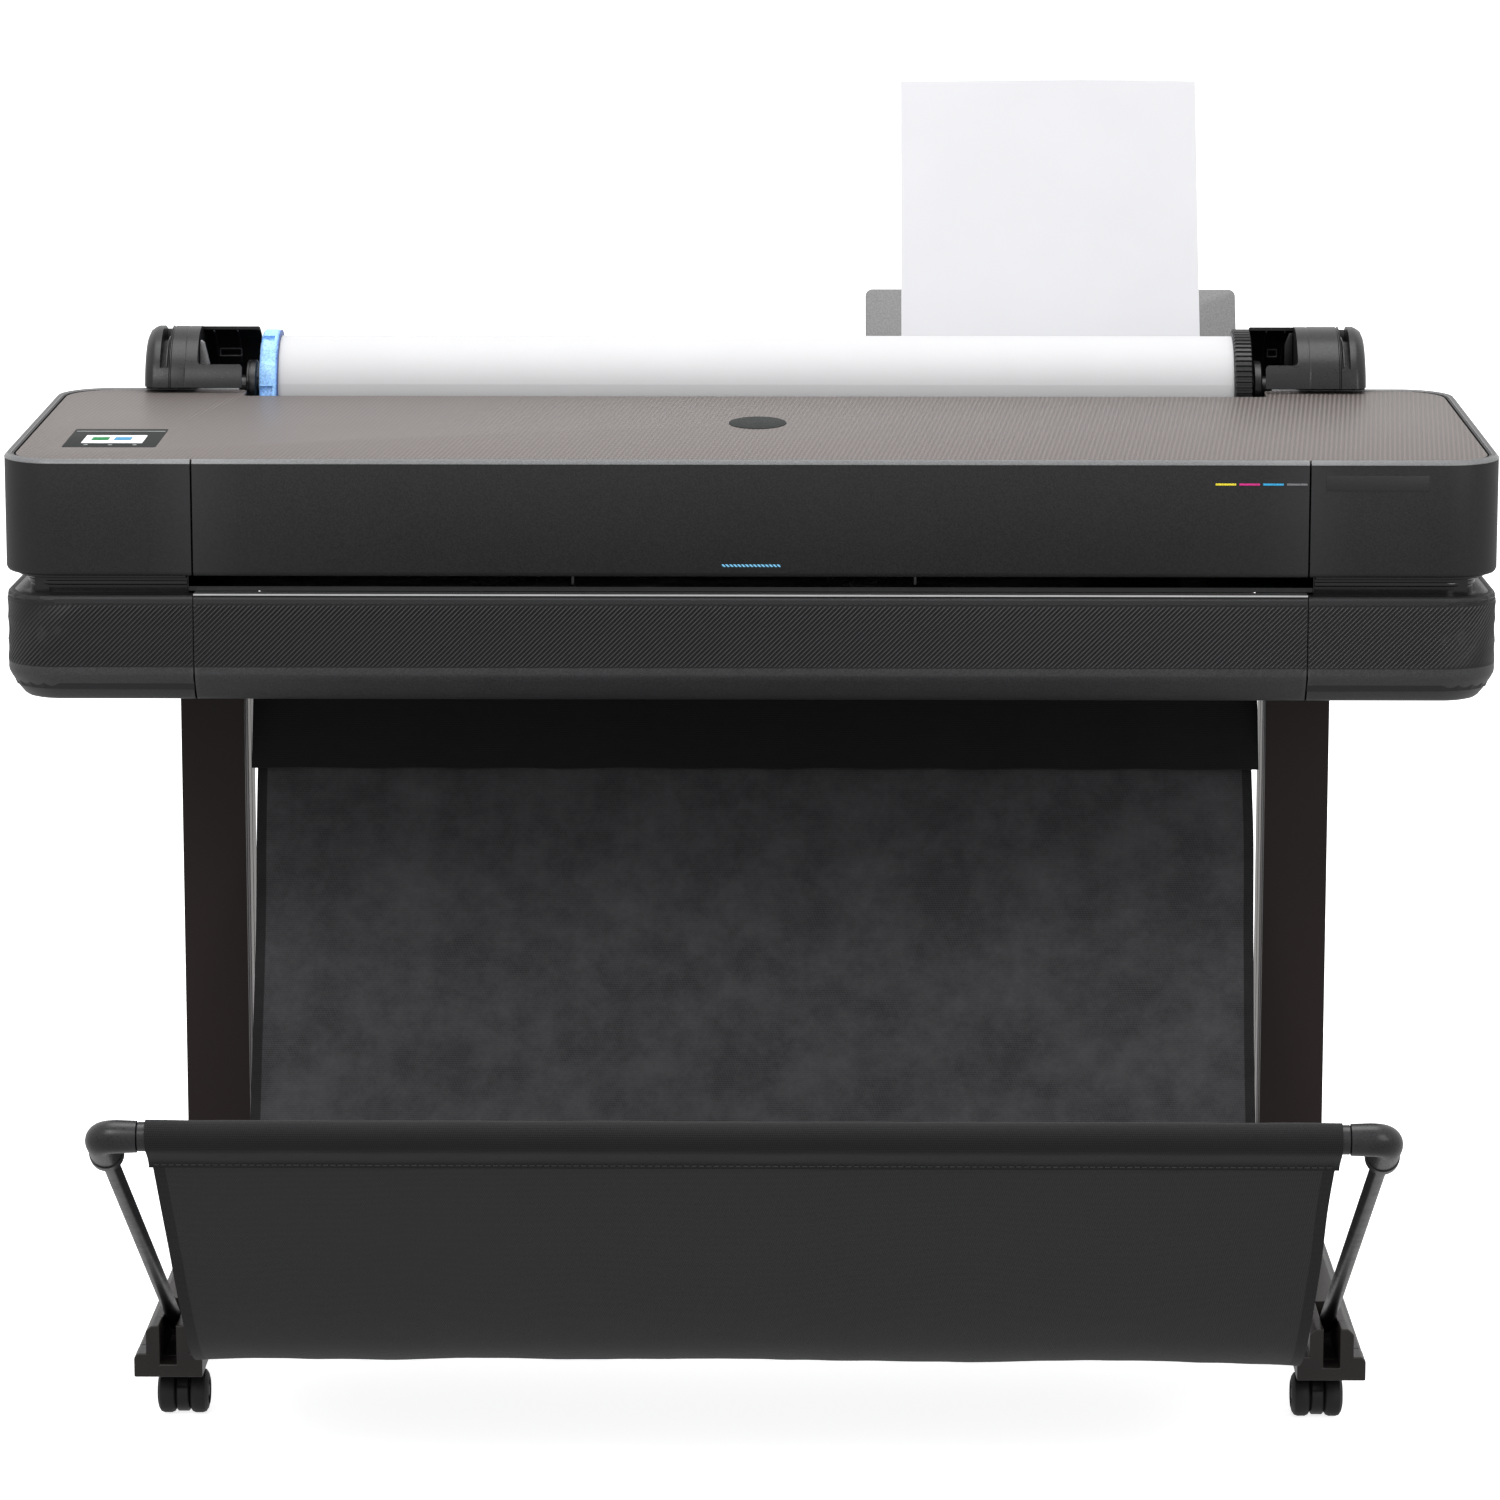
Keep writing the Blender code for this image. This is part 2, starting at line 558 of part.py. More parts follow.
def sheet_feeder():
    tray = empty("sheet_tray_hinge", TRAY_HINGE, (-TRAY_LEAN, 0, 0), MACHINE)
    plate = box("sheet_tray", (TRAY_X[0], -0.0050, 0.0040), (TRAY_X[1], -0.0020, TRAY_LENGTH), ((0.25, 0.25, 0.25), 0.5),
                parent=tray)
    knuckle = cylinder_x("tray_knuckle", 0.0050, (TRAY_X[0] - 0.0027, TRAY_X[1] + 0.0040), (0, 0), parent=tray,
                         segments=16)
    fuse(plate, knuckle)
    box("loaded_sheet", (SHEET_X[0], -0.0059, SHEET_Z[0]), (SHEET_X[1], -0.0053, SHEET_Z[1]),
        ((0.88, 0.88, 0.89), 0.7), parent=tray)
    box("tray_extension", (0.2000, -0.0017, 0.0200), (0.4000, 0.0003, 0.1480), ((0.08, 0.08, 0.08), 0.4),
        parent=tray)
    for word, low, high in (("left", SHEET_X[0] - 0.0055, SHEET_X[0] - 0.0005),
                            ("right", SHEET_X[1] + 0.0005, SHEET_X[1] + 0.0055)):
        box("paper_guide_" + word, (low, -0.0150, 0.0100), (high, -0.0053, 0.0800), ((0.06, 0.06, 0.06), 0.4),
            parent=tray)


def power_entry():
    inlet = box("power_inlet", (-0.4750, REAR_DEPTH + GAP, 0.7560), (-0.4430, REAR_DEPTH + 0.0100, 0.7840), (BLACK, 0.4))
    socket = box("inlet_socket", (-0.4710, REAR_DEPTH + 0.0030, 0.7600), (-0.4470, REAR_DEPTH + 0.0200, 0.7800))
    cut(inlet, socket)
    pivot = empty("power_switch_pivot", SWITCH_PIVOT, (math.radians(6), 0, 0), MACHINE)
    box("power_switch", (-0.0070, -0.0020, -0.0100), (0.0070, 0.0020, 0.0100), (BLACK, 0.3), parent=pivot)


# ---------------------------------------------------------------- stand

def stand(word, side):
    x = side * STAND_X
    half = LEG_WIDTH / 2
    leg = box("leg_" + word, (x - half, LEG_Y[0], FOOT_TOP + GAP), (x + half, LEG_Y[1], CASE_BOTTOM - GAP),
              (LEG_BROWN, 0.5))
    groove_x = side * (STAND_X - half)
    groove = box("leg_groove_" + word, (groove_x - 0.0015, 0.4300, 0.0), (groove_x + 0.0015, 0.4360, 0.7))
    cut(leg, groove)
    section = [(x - FOOT_LOWER_HALF, FOOT_BOTTOM), (x + FOOT_LOWER_HALF, FOOT_BOTTOM),
               (x + FOOT_LOWER_HALF, FOOT_STEP), (x + FOOT_UPPER_HALF, FOOT_STEP), (x + FOOT_UPPER_HALF, FOOT_TOP),
               (x - FOOT_UPPER_HALF, FOOT_TOP), (x - FOOT_UPPER_HALF, FOOT_STEP), (x - FOOT_LOWER_HALF, FOOT_STEP)]
    cap_back = FOOT_Y[0] + CAP_LENGTH
    slot = box("rod_slot_" + word, (x - SLOT_HALF, FOOT_Y[0] - 0.01, SLOT_BOTTOM), (x + SLOT_HALF, SLOT_REAR, 0.12))
    foot = front_outline("foot_" + word, section, (cap_back + GAP, FOOT_Y[1]), (LEG_BROWN, 0.45))
    cap = front_outline("foot_cap_" + word, section, (FOOT_Y[0], cap_back), (BLACK, 0.4))
    cut(foot, slot)
    cut(cap, slot)


def cross_bar():
    reach = STAND_X - LEG_WIDTH / 2 - GAP
    box("cross_bar", (-reach, 0.4500, 0.1000), (reach, 0.4800, 0.1400), (LEG_BROWN, 0.45), 0.003)


def caster(word, x, swivel_y, trail):
    """A twin-wheel caster: the fork's web stands between the two treads."""
    swivel = empty("caster_swivel_" + word, (x, swivel_y, 0), parent=MACHINE)
    top = FOOT_BOTTOM - GAP
    plate = turned("caster_fork_" + word, [(0, top), (0.0185, top), (0.0185, top - 0.0024), (0, top - 0.0024)],
                   (BLACK, 0.4), (0, 0, 0), (0, 0, 0), 24, parent=swivel)
    web_y = sorted((trail * 1.68, -trail * 0.8))
    web = box("caster_web_" + word, (-0.0045, web_y[0], WHEEL_RADIUS - 0.0080), (0.0045, web_y[1], top - 0.0010),
              parent=swivel)
    hole = cylinder_x("caster_hole_" + word, AXLE_RADIUS + 0.0010, (-0.02, 0.02), (trail, WHEEL_RADIUS),
                      segments=16, parent=swivel)
    cut(fuse(plate, web), hole)
    crown = WHEEL_RADIUS - 0.0025
    profile = [(0, WHEEL_HALF), (crown, WHEEL_HALF), (WHEEL_RADIUS, WHEEL_HALF - 0.0040),
               (WHEEL_RADIUS, WHEEL_INNER + 0.0030), (crown, WHEEL_INNER), (AXLE_RADIUS, WHEEL_INNER),
               (AXLE_RADIUS, -WHEEL_INNER), (crown, -WHEEL_INNER), (WHEEL_RADIUS, -WHEEL_INNER - 0.0030),
               (WHEEL_RADIUS, 0.0040 - WHEEL_HALF), (crown, -WHEEL_HALF), (0, -WHEEL_HALF)]
    turned("caster_wheel_" + word, profile, (BLACK, 0.5), (0, trail, WHEEL_RADIUS), (0, math.pi / 2, 0), 32,
           parent=swivel)


# --------------------------------------------------------------- basket

def basket():
    """Back and bottom cloth on the stand; bar, elbows, rods and front cloth on the folding frame."""
    side_outline("basket_back", strip(BACK_CLOTH, CLOTH_THICKNESS), (-CLOTH_HALF, CLOTH_HALF), ((0.028, 0.028, 0.030), 0.9))
    pivot = Vector(ROD_PIVOT)
    frame = empty("basket_frame_pivot", pivot, parent=MACHINE)
    bar = Vector(BAR_CENTRE) - pivot
    tube("basket_bar", [(-BAR_HALF, bar.y, bar.z), (BAR_HALF, bar.y, bar.z)], BAR_RADIUS,
         ((0.027, 0.028, 0.030), 0.35), frame, 6)
    down = -bar.normalized()
    for side, word in ((-1, "left"), (1, "right")):
        corner = Vector((side * STAND_X, bar.y, bar.z))
        start = corner.copy()
        start.x = side * (BAR_HALF + GAP)
        turn = [corner + Vector((-side * r, 0, 0)) for r in (0.0120, 0.0050)]
        after = [corner + down * r for r in (0.0050, 0.0120, ELBOW_REACH)]
        tube("basket_elbow_" + word, [start, *turn, *after], ELBOW_RADIUS, ((0.027, 0.028, 0.030), 0.35), frame, 5)
        tube("basket_rod_" + word, [corner + down * (ELBOW_REACH + GAP), Vector((side * STAND_X, 0, 0))],
             BASKET_ROD_RADIUS, (BLACK, 0.15), frame, 4)
    points = [(y - pivot.y, z - pivot.z) for y, z in FRONT_CLOTH]
    side_outline("basket_front", strip(points, CLOTH_THICKNESS), (-CLOTH_HALF, CLOTH_HALF),
                 ((0.028, 0.028, 0.030), 0.9), frame)


SPINDLE = empty("spindle_axis", (0, AXIS_Y, AXIS_Z), parent=MACHINE)

casing()
chassis()
display()
front_window()
mechanism()
spindle()
spindle_holder("left", -1, 0.5840, 0.4907, 0.5325)
spindle_holder("right", 1, 0.5835, 0.4877, 0.5175)
sheet_feeder()
power_entry()
for stand_side, stand_word in ((-1, "left"), (1, "right")):
    stand(stand_word, stand_side)
    caster("front_" + stand_word, stand_side * CASTER_X, CASTER_SWIVEL_Y["front"], -CASTER_TRAIL)
    caster("rear_" + stand_word, stand_side * CASTER_X, CASTER_SWIVEL_Y["rear"], CASTER_TRAIL)
cross_bar()
basket()
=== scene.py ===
"""Looks of the large format plotter: detailed pieces and procedural materials on the CAD frame.

Metres, +Z up, the operator stands at -Y. Places are taken from the CAD nodes' boxes.
"""
import math

import bmesh
import bpy
from mathutils import Matrix, Vector, noise


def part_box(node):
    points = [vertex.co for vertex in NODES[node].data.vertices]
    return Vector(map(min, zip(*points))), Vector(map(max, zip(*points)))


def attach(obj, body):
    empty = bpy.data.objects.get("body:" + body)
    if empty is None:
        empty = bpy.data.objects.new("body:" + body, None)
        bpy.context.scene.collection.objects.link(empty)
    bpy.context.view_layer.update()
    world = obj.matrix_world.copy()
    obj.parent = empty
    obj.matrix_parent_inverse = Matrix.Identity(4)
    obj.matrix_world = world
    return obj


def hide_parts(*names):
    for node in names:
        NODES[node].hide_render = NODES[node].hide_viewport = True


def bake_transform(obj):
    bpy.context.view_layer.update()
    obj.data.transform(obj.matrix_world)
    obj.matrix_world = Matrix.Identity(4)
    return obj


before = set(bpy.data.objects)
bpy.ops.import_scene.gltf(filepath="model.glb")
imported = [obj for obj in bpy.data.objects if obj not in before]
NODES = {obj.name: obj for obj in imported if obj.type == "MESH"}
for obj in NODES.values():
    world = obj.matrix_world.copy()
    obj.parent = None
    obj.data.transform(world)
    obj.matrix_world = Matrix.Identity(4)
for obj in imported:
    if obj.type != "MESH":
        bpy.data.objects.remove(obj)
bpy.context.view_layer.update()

PANEL_LOW, PANEL_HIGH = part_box("lower_front_panel")
WINDOW_LOW, WINDOW_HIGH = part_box("front_window")
COVER_LOW, COVER_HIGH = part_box("upper_cover_right")
LOWER_LOW, LOWER_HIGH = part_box("lower_cover_right")
TOP_LOW, TOP_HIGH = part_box("top_cover")
FRONT = PANEL_LOW.y                         # the casing's front plane
SEAM_X = (PANEL_HIGH.x + COVER_LOW.x) / 2
SEAM_HALF = 0.0009
SIDES = (("left", -1), ("right", 1))
HALF_WIDTH = COVER_HIGH.x
CASE_BOTTOM = PANEL_LOW.z
LOWER_TOP = PANEL_HIGH.z
UPPER_BOTTOM = WINDOW_LOW.z
TOP_FRONT = WINDOW_HIGH.z - 0.0003          # height of the sloping top at its front edge
TOP_SLOPE = 0.0325
SKIN = 0.0003                               # how far a skin stands off the CAD solid below it
CORNER = 0.05
SKIRT = 0.0049                              # how far the casing's skirt hangs below its base


def at(x, y, z):
    """A place in the machine's own frame, whose Y = 0 is the casing's front."""
    return Vector((x, y + FRONT, z))


# ------------------------------------------------------------ materials

class Nodes:
    """A node tree with short calls for making and joining its nodes."""

    def __init__(self, tree):
        self.tree = tree

    def feed(self, socket, value):
        if isinstance(value, bpy.types.NodeSocket):
            self.tree.links.new(value, socket)
        else:
            socket.default_value = value

    def node(self, kind, **values):
        """A new node; each value goes to the input of that name (spaces for underscores) or to a setting."""
        made = self.tree.nodes.new(kind)
        for key, value in values.items():
            name = key.replace("_", " ")
            if name in made.inputs:
                self.feed(made.inputs[name], value)
            else:
                setattr(made, key, value)
        return made

    def math(self, operation, first, second=0.0):
        made = self.node("ShaderNodeMath", operation=operation)
        self.feed(made.inputs[0], first)
        self.feed(made.inputs[1], second)
        return made.outputs[0]

    def level(self, factor, low, high, start=0.0, end=1.0):
        """A factor carried from start..end to low..high."""
        return self.node("ShaderNodeMapRange", Value=factor, From_Min=start, From_Max=end, To_Min=low,
                         To_Max=high).outputs["Result"]

    def step(self, factor, start, end):
        """0 up to start, 1 from end on."""
        return self.level(factor, 0.0, 1.0, start, end)


class Material(Nodes):
    """A Principled material."""

    def __init__(self, name, roughness=0.5, metallic=0.0, specular=0.5, coat=0.0):
        self.mat = bpy.data.materials.new(name)
        self.mat.use_nodes = True
        super().__init__(self.mat.node_tree)
        self.shader = self.tree.nodes["Principled BSDF"]
        self.shade(Roughness=roughness, Metallic=metallic, Specular_IOR_Level=specular, Coat_Weight=coat)
        self.place = self.node("ShaderNodeTexCoord").outputs["Object"]
        self.bump = None

    def shade(self, **values):
        """Feed the shader's inputs."""
        for key, value in values.items():
            self.feed(self.shader.inputs[key.replace("_", " ")], value)

    def noise(self, scale, detail=2.0, roughness=0.5, place=None, stretch=None):
        place = place or self.place
        if stretch:
            place = self.node("ShaderNodeMapping", Vector=place, Scale=stretch).outputs[0]
        return self.node("ShaderNodeTexNoise", Vector=place, Scale=scale, Detail=detail,
                         Roughness=roughness).outputs["Fac"]

    def ramp(self, factor, *stops):
        """Colours over a factor; stops are pairs of a position and a colour."""
        made = self.tree.nodes.new("ShaderNodeValToRGB")
        self.feed(made.inputs[0], factor)
        for element, (position, colour) in zip(made.color_ramp.elements, stops):
            element.position = position
            element.color = (*colour, 1)
        return made.outputs["Color"]

    def mix(self, factor, first, second):
        made = self.node("ShaderNodeMix", data_type="RGBA", Factor=factor)
        for name, value in (("A", first), ("B", second)):
            socket = next(s for s in made.inputs if s.name == name and s.type == "RGBA")
            self.feed(socket, (*value, 1) if isinstance(value, tuple) else value)
        return next(s for s in made.outputs if s.type == "RGBA")

    def relief(self, height, distance, strength=1.0):
        made = self.node("ShaderNodeBump", Strength=strength, Distance=distance, Height=height)
        if self.bump:
            self.feed(made.inputs["Normal"], self.bump)
        self.bump = made.outputs["Normal"]
        self.shade(Normal=self.bump)

    def edges(self, low, high):
        """How exposed the surface is, from 0 in the flats to 1 on worn edges."""
        return self.step(self.node("ShaderNodeNewGeometry").outputs["Pointiness"], low, high)


def darker(colour, factor):
    return tuple(c * factor for c in colour)


def moulded(name, colour, roughness, grain=760.0, depth=6e-5, wear=0.5, specular=0.5, crest=False):
    """Grained injection moulding, with faint mottling, rubbed edges and, on ribs, painted highlights on the
    crests and painted shade between them.
    """
    m = Material(name, roughness, specular=specular)
    fine = m.noise(grain, 3.0, 0.6)
    broad = m.noise(9.0, 3.0, 0.55)
    base = m.ramp(broad, (0.3, darker(colour, 0.86)), (0.7, darker(colour, 1.14)))
    speckle = m.mix(m.step(fine, 0.38, 0.64), darker(colour, 0.55), darker(colour, 1.5))
    base = m.mix(0.6, base, speckle)
    if crest:
        # Painted light: rib crests are painted lighter as a highlight, and the grooves and flats between them
        # darker as shade.
        ridge = m.node("ShaderNodeAttribute", attribute_name="crest").outputs["Fac"]
        base = m.mix(m.step(ridge, 0.3, 1.0), m.mix(0.55, base, darker(colour, 0.15)), darker(colour, 2.7))
    rubbed = m.math("MULTIPLY", m.edges(0.52, 0.6), wear)
    m.shade(Base_Color=m.mix(rubbed, base, darker(colour, 2.4)),
            Roughness=m.level(fine, roughness - 0.08, roughness + 0.1, 0.3, 0.7))
    m.relief(fine, depth, 0.7)
    return m.mat


def glossy(name, colour, roughness, coat):
    """Polished moulding with fine dust and swirl marks in its roughness."""
    m = Material(name, roughness, coat=coat)
    m.shade(Coat_Roughness=0.12)
    dust = m.noise(160.0, 4.0, 0.65)
    swirl = m.noise(30.0, stretch=(1.0, 1.0, 6.0))
    m.shade(Base_Color=m.mix(m.level(dust, 0.0, 0.35, 0.45, 0.8), colour, tuple(c + 0.012 for c in colour)),
            Roughness=m.level(m.math("MULTIPLY", dust, swirl), roughness, roughness + 0.1, 0.15, 0.4))
    m.relief(m.noise(18.0), 1e-4, 0.25)
    return m.mat


def metal(name, colour, roughness=0.32, stretch=(1.0, 40.0, 40.0)):
    """Brushed or plated sheet steel."""
    m = Material(name, roughness, metallic=1.0)
    lines = m.noise(60.0, 4.0, 0.6, stretch=stretch)
    m.shade(Base_Color=m.ramp(lines, (0.25, darker(colour, 0.8)), (0.75, darker(colour, 1.12))),
            Roughness=m.level(lines, roughness - 0.08, roughness + 0.14, 0.3, 0.7))
    m.relief(lines, 5e-5, 0.4)
    return m.mat


def paper(name, colour, bands=0.0):
    """Uncoated paper: faint fibres, and the edges of the turns on a wound roll."""
    m = Material(name, 0.62, specular=0.35)
    fibres = m.noise(900.0, 4.0, 0.65)
    base = m.ramp(m.noise(14.0), (0.3, darker(colour, 0.975)), (0.7, colour))
    m.shade(Base_Color=m.mix(m.level(fibres, 0.0, 0.5, 0.4, 0.8), base, darker(colour, 0.96)),
            Roughness=m.level(fibres, 0.55, 0.72, 0.3, 0.7))
    m.relief(fibres, 2e-5, 0.5)
    if bands:
        m.relief(m.noise(bands, 1.0, stretch=(0.02, 1.0, 1.0)), 3e-4, 0.3)
    return m.mat


def inlay(name, colour):
    """The top cover's textured film: fine rows of slanted dashes over a satin ground."""
    m = Material(name, specular=0.3)
    rows = []
    for angle, scale in ((0.1, 72.0), (1.25, 30.0)):
        turned = m.node("ShaderNodeMapping", Vector=m.place, Rotation=(0, 0, angle)).outputs[0]
        rows.append(m.node("ShaderNodeTexWave", Vector=turned, Scale=scale).outputs["Fac"])
    dashes = m.math("MULTIPLY", rows[0], m.level(rows[1], 0.6, 1.0))
    grain = m.noise(1500.0)
    ground = m.ramp(m.noise(5.0), (0.3, darker(colour, 0.94)), (0.7, darker(colour, 1.05)))
    shade = m.mix(m.step(dashes, 0.15, 0.85), darker(colour, 0.55), darker(colour, 1.3))
    speck = m.mix(m.level(grain, 0.0, 0.4, 0.45, 0.75), shade, darker(colour, 1.35))
    m.shade(Base_Color=m.mix(0.75, ground, speck), Roughness=m.level(dashes, 0.42, 0.6))
    m.relief(dashes, 1.2e-4, 0.6)
    m.relief(grain, 3e-5, 0.5)
    return m.mat


def cloth_weave(name, colour, dust, clean=None, fade=None):
    """Spun polyester cloth: a twill of small bonded dots, lint, and dusty worn patches.

    With a clean colour, the dusty one turns into it between two distances along the cloth."""
    m = Material(name, 0.86, specular=0.18)
    m.shade(Sheen_Weight=0.08, Sheen_Roughness=0.45)
    uv = m.node("ShaderNodeUVMap", uv_map="cloth").outputs["UV"]
    split = m.node("ShaderNodeSeparateXYZ", Vector=uv)
    across, along = split.outputs["X"], split.outputs["Y"]
    pitch = 2 * math.pi / 0.003
    one = m.math("SINE", m.math("MULTIPLY", m.math("ADD", across, along), pitch))
    slanted = m.math("SUBTRACT", across, m.math("MULTIPLY", along, 0.6))
    two = m.math("SINE", m.math("MULTIPLY", slanted, pitch))
    dots = m.step(m.math("MULTIPLY", one, two), -0.9, 0.9)
    lint = m.noise(700.0, 4.0, 0.7, place=uv)
    patches = m.noise(13.0, 9.0, 0.76, place=uv)
    ground = m.mix(dots, darker(colour, 0.45), darker(colour, 1.45))
    flecks = m.mix(m.level(lint, 0.0, 0.5, 0.5, 0.78), ground, darker(colour, 1.9))
    haze = m.math("MULTIPLY", m.step(patches, 0.4, 0.68), dust)
    shade = m.mix(haze, flecks, tuple(c * 1.5 + 0.022 for c in colour))
    if clean:
        plain = m.mix(dots, darker(clean, 0.45), darker(clean, 1.45))
        shade = m.mix(m.step(along, *fade), shade, plain)
        hem = m.level(m.math("ABSOLUTE", across), 0.0, 0.75, 0.47, 0.4708)
        shade = m.mix(hem, shade, darker(clean, 0.25))
    m.shade(Base_Color=shade, Roughness=m.level(lint, 0.8, 0.95, 0.3, 0.7))
    m.relief(dots, 2.5e-4, 0.8)
    m.relief(lint, 1e-4, 0.5)
    return m.mat


def light_face(name, colour, strength, dots=0.0):
    """A lit display or indicator face."""
    m = Material(name, 0.55, specular=0.05)
    shade = m.mix(m.step(m.noise(120.0, 1.0), 0.3, 0.7), darker(colour, 0.94), colour)
    if dots:
        wave = m.node("ShaderNodeTexWave", Vector=m.place, Scale=dots, bands_direction="DIAGONAL")
        shade = m.mix(m.step(wave.outputs["Fac"], 0.35, 0.65), darker(colour, 0.12), shade)
    m.shade(Base_Color=shade, Emission_Color=shade, Emission_Strength=strength)
    return m.mat


CHARCOAL = (0.015, 0.015, 0.016)
MAT = {
    "charcoal": moulded("charcoal_moulding", CHARCOAL, 0.5, specular=0.3),
    "charcoal_rear": moulded("charcoal_rear_moulding", CHARCOAL, 0.6, 900, specular=0.3),
    "taupe": inlay("taupe_film", (0.128, 0.11, 0.104)),
    # Ribbed moulding: painted highlights on the rib crests, painted shade between them.
    "ribbed": moulded("ribbed_moulding", CHARCOAL, 0.46, specular=0.34, crest=True),
    # Lighter copies of the charcoal: a painted highlight on the top rim's slope, and painted light on the
    # rim's flat top and on the lower casing's bottom bevel.
    "rim": moulded("rim_painted_highlight", (0.13, 0.131, 0.134), 0.34),
    "bevel": moulded("bevel_painted_light", (0.04, 0.04, 0.042), 0.4, specular=0.45),
    "gloss_black": glossy("gloss_black", (0.0035, 0.0035, 0.004), 0.14, 0.1),
    # Near-black and matt: painted shade for the insides of the seams.
    "gap_painted_shade": moulded("gap_painted_shade", (0.0015, 0.0015, 0.0016), 0.8, wear=0.0, specular=0.05),
    "black": moulded("black_moulding", (0.005, 0.005, 0.0055), 0.42, 1100, 4e-5, specular=0.35),
    "dark_satin": moulded("dark_satin", (0.007, 0.007, 0.0078), 0.33, 700, 3e-5, specular=0.42),
    "steel": metal("plated_steel", (0.52, 0.53, 0.54)),
    "lip": metal("brushed_lip", (0.8, 0.8, 0.81), 0.26, (0.5, 60.0, 60.0)),
    "paper": paper("white_paper", (0.56, 0.56, 0.58)),
    "roll": paper("roll_paper", (0.52, 0.52, 0.53), 24.0),
    "blue": moulded("blue_hub_plastic", (0.27, 0.51, 0.88), 0.34, 500, 3e-5, 0.15),
    # Dark blue that stands in for the shadow line at the hub's paper side: painted shadow.
    "blue_painted_shadow": moulded("blue_hub_painted_shadow", (0.035, 0.08, 0.27), 0.4, 500, 3e-5, 0.1),
    "leg": moulded("brown_powder_coat", (0.0168, 0.0114, 0.0106), 0.5, 1600, 8e-5, 0.35, 0.22),
    "leg_trim": moulded("leg_trim", (0.27, 0.25, 0.24), 0.42, 900, 3e-5, 0.1),
    "foot": moulded("foot_coat", (0.014, 0.011, 0.0104), 0.4, 1300, specular=0.35),
    "bar": moulded("bar_satin", (0.015, 0.015, 0.0164), 0.3, 600, 3e-5, specular=0.4),
    "rod": glossy("rod_gloss", (0.004, 0.004, 0.0045), 0.3, 0.0),
    "rubber": moulded("tread_rubber", (0.008, 0.008, 0.0085), 0.6, 450, 1e-4, 0.2, 0.35),
    "tray": moulded("grey_tray", (0.146, 0.146, 0.146), 0.5, 1000, 4e-5, 0.3),
    "lever": moulded("lever_grey", (0.11, 0.11, 0.112), 0.38, 900, 3e-5),
    "bezel": moulded("display_bezel", (0.024, 0.0255, 0.0255), 0.6, 900, 2e-5, 0.2, 0.05),
    "screen": light_face("display_light", (0.8, 0.82, 0.83), 0.1),
    "icon_green": light_face("icon_green", (0.01, 0.17, 0.05), 0.1),
    "icon_blue": light_face("icon_blue", (0.05, 0.23, 0.4), 0.15),
    "strip": light_face("status_light", (0.2, 0.52, 0.78), 0.35, 180.0),
    "key": light_face("key_light", (0.35, 0.36, 0.36), 0.1),
    "cloth_dark": cloth_weave("basket_cloth_dark", (0.0135, 0.0135, 0.0145), 0.04),
    "cloth": cloth_weave("basket_cloth", (0.044, 0.044, 0.047), 0.85, (0.0275, 0.0275, 0.029), (0.88, 1.1)),
    "thread": moulded("stitch_thread", (0.045, 0.045, 0.048), 0.75, 2500, 1e-4),
}
INKS = {"yellow": (0.8, 0.66, 0.03), "magenta": (0.62, 0.02, 0.22), "cyan": (0.03, 0.36, 0.66),
        "black": (0.16, 0.16, 0.17)}
for word, shade in INKS.items():
    MAT["ink_" + word] = moulded("ink_" + word, shade, 0.35, 800, 2e-5, 0.1)


# ------------------------------------------------------------- geometry

def put(name, mesh, material, body, smooth=35, replaces=""):
    """Show a mesh. It rides a body, and replaces the CAD nodes named, with spaces between them."""
    ob = bpy.data.objects.new(name, mesh)
    bpy.context.scene.collection.objects.link(ob)
    mesh.materials.clear()
    mesh.materials.append(MAT[material])
    if smooth:
        mesh.shade_smooth()
        mesh.set_sharp_from_angle(angle=math.radians(smooth))
    if body:
        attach(ob, body)
    if replaces:
        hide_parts(*replaces.split())
    return ob


def more_looks(ob, looks, choose):
    """Give a piece more looks; choose(centre) is a face's look, 0 being the first."""
    for look in looks:
        ob.data.materials.append(MAT[look])
    for polygon in ob.data.polygons:
        polygon.material_index = choose(polygon.center)


def mesh_from(name, bm):
    mesh = bpy.data.meshes.new(name)
    bmesh.ops.recalc_face_normals(bm, faces=bm.faces)
    bm.to_mesh(mesh)
    bm.free()
    return mesh


def cube_bmesh(first, second):
    """A box between two opposite corners, in any order."""
    bm = bmesh.new()
    bmesh.ops.create_cube(bm, size=1)
    low, high = (Vector(tuple(map(pick, first, second))) for pick in (min, max))
    bmesh.ops.scale(bm, vec=high - low, verts=bm.verts)
    bmesh.ops.translate(bm, vec=(low + high) / 2, verts=bm.verts)
    return bm


def raw_block(first, second):
    return mesh_from("raw", cube_bmesh(first, second))


def block(name, first, second, radius, material, body, segments=3):
    """A block with rounded edges."""
    bm = cube_bmesh(first, second)
    bmesh.ops.bevel(bm, geom=bm.edges[:], offset=radius, segments=segments, profile=0.5, affect="EDGES")
    return put(name, mesh_from(name, bm), material, body)


def axis_place(axis, a, b, height):
    return {"X": (height, a, b), "Y": (a, height, b), "Z": (a, b, height)}[axis]


def prism(name, points, axis, span, radius=0, material=None, body=None):
    """A polygon stretched along an axis, edges rounded. Points are the other two coordinates in order."""
    bm = bmesh.new()
    face = bm.faces.new([bm.verts.new(axis_place(axis, a, b, span[0])) for a, b in points])
    moved = bmesh.ops.extrude_face_region(bm, geom=[face])
    step = Vector(axis_place(axis, 0, 0, 1))
    new = [v for v in moved["geom"] if isinstance(v, bmesh.types.BMVert)]
    bmesh.ops.translate(bm, vec=step * (span[1] - span[0]), verts=new)
    bmesh.ops.recalc_face_normals(bm, faces=bm.faces)
    if radius:
        sharp = [e for e in bm.edges if e.calc_face_angle(0) > math.radians(28)]
        bmesh.ops.bevel(bm, geom=sharp, offset=radius, segments=2, profile=0.5, affect="EDGES")
    mesh = mesh_from(name, bm)
    return put(name, mesh, material, body) if material else mesh


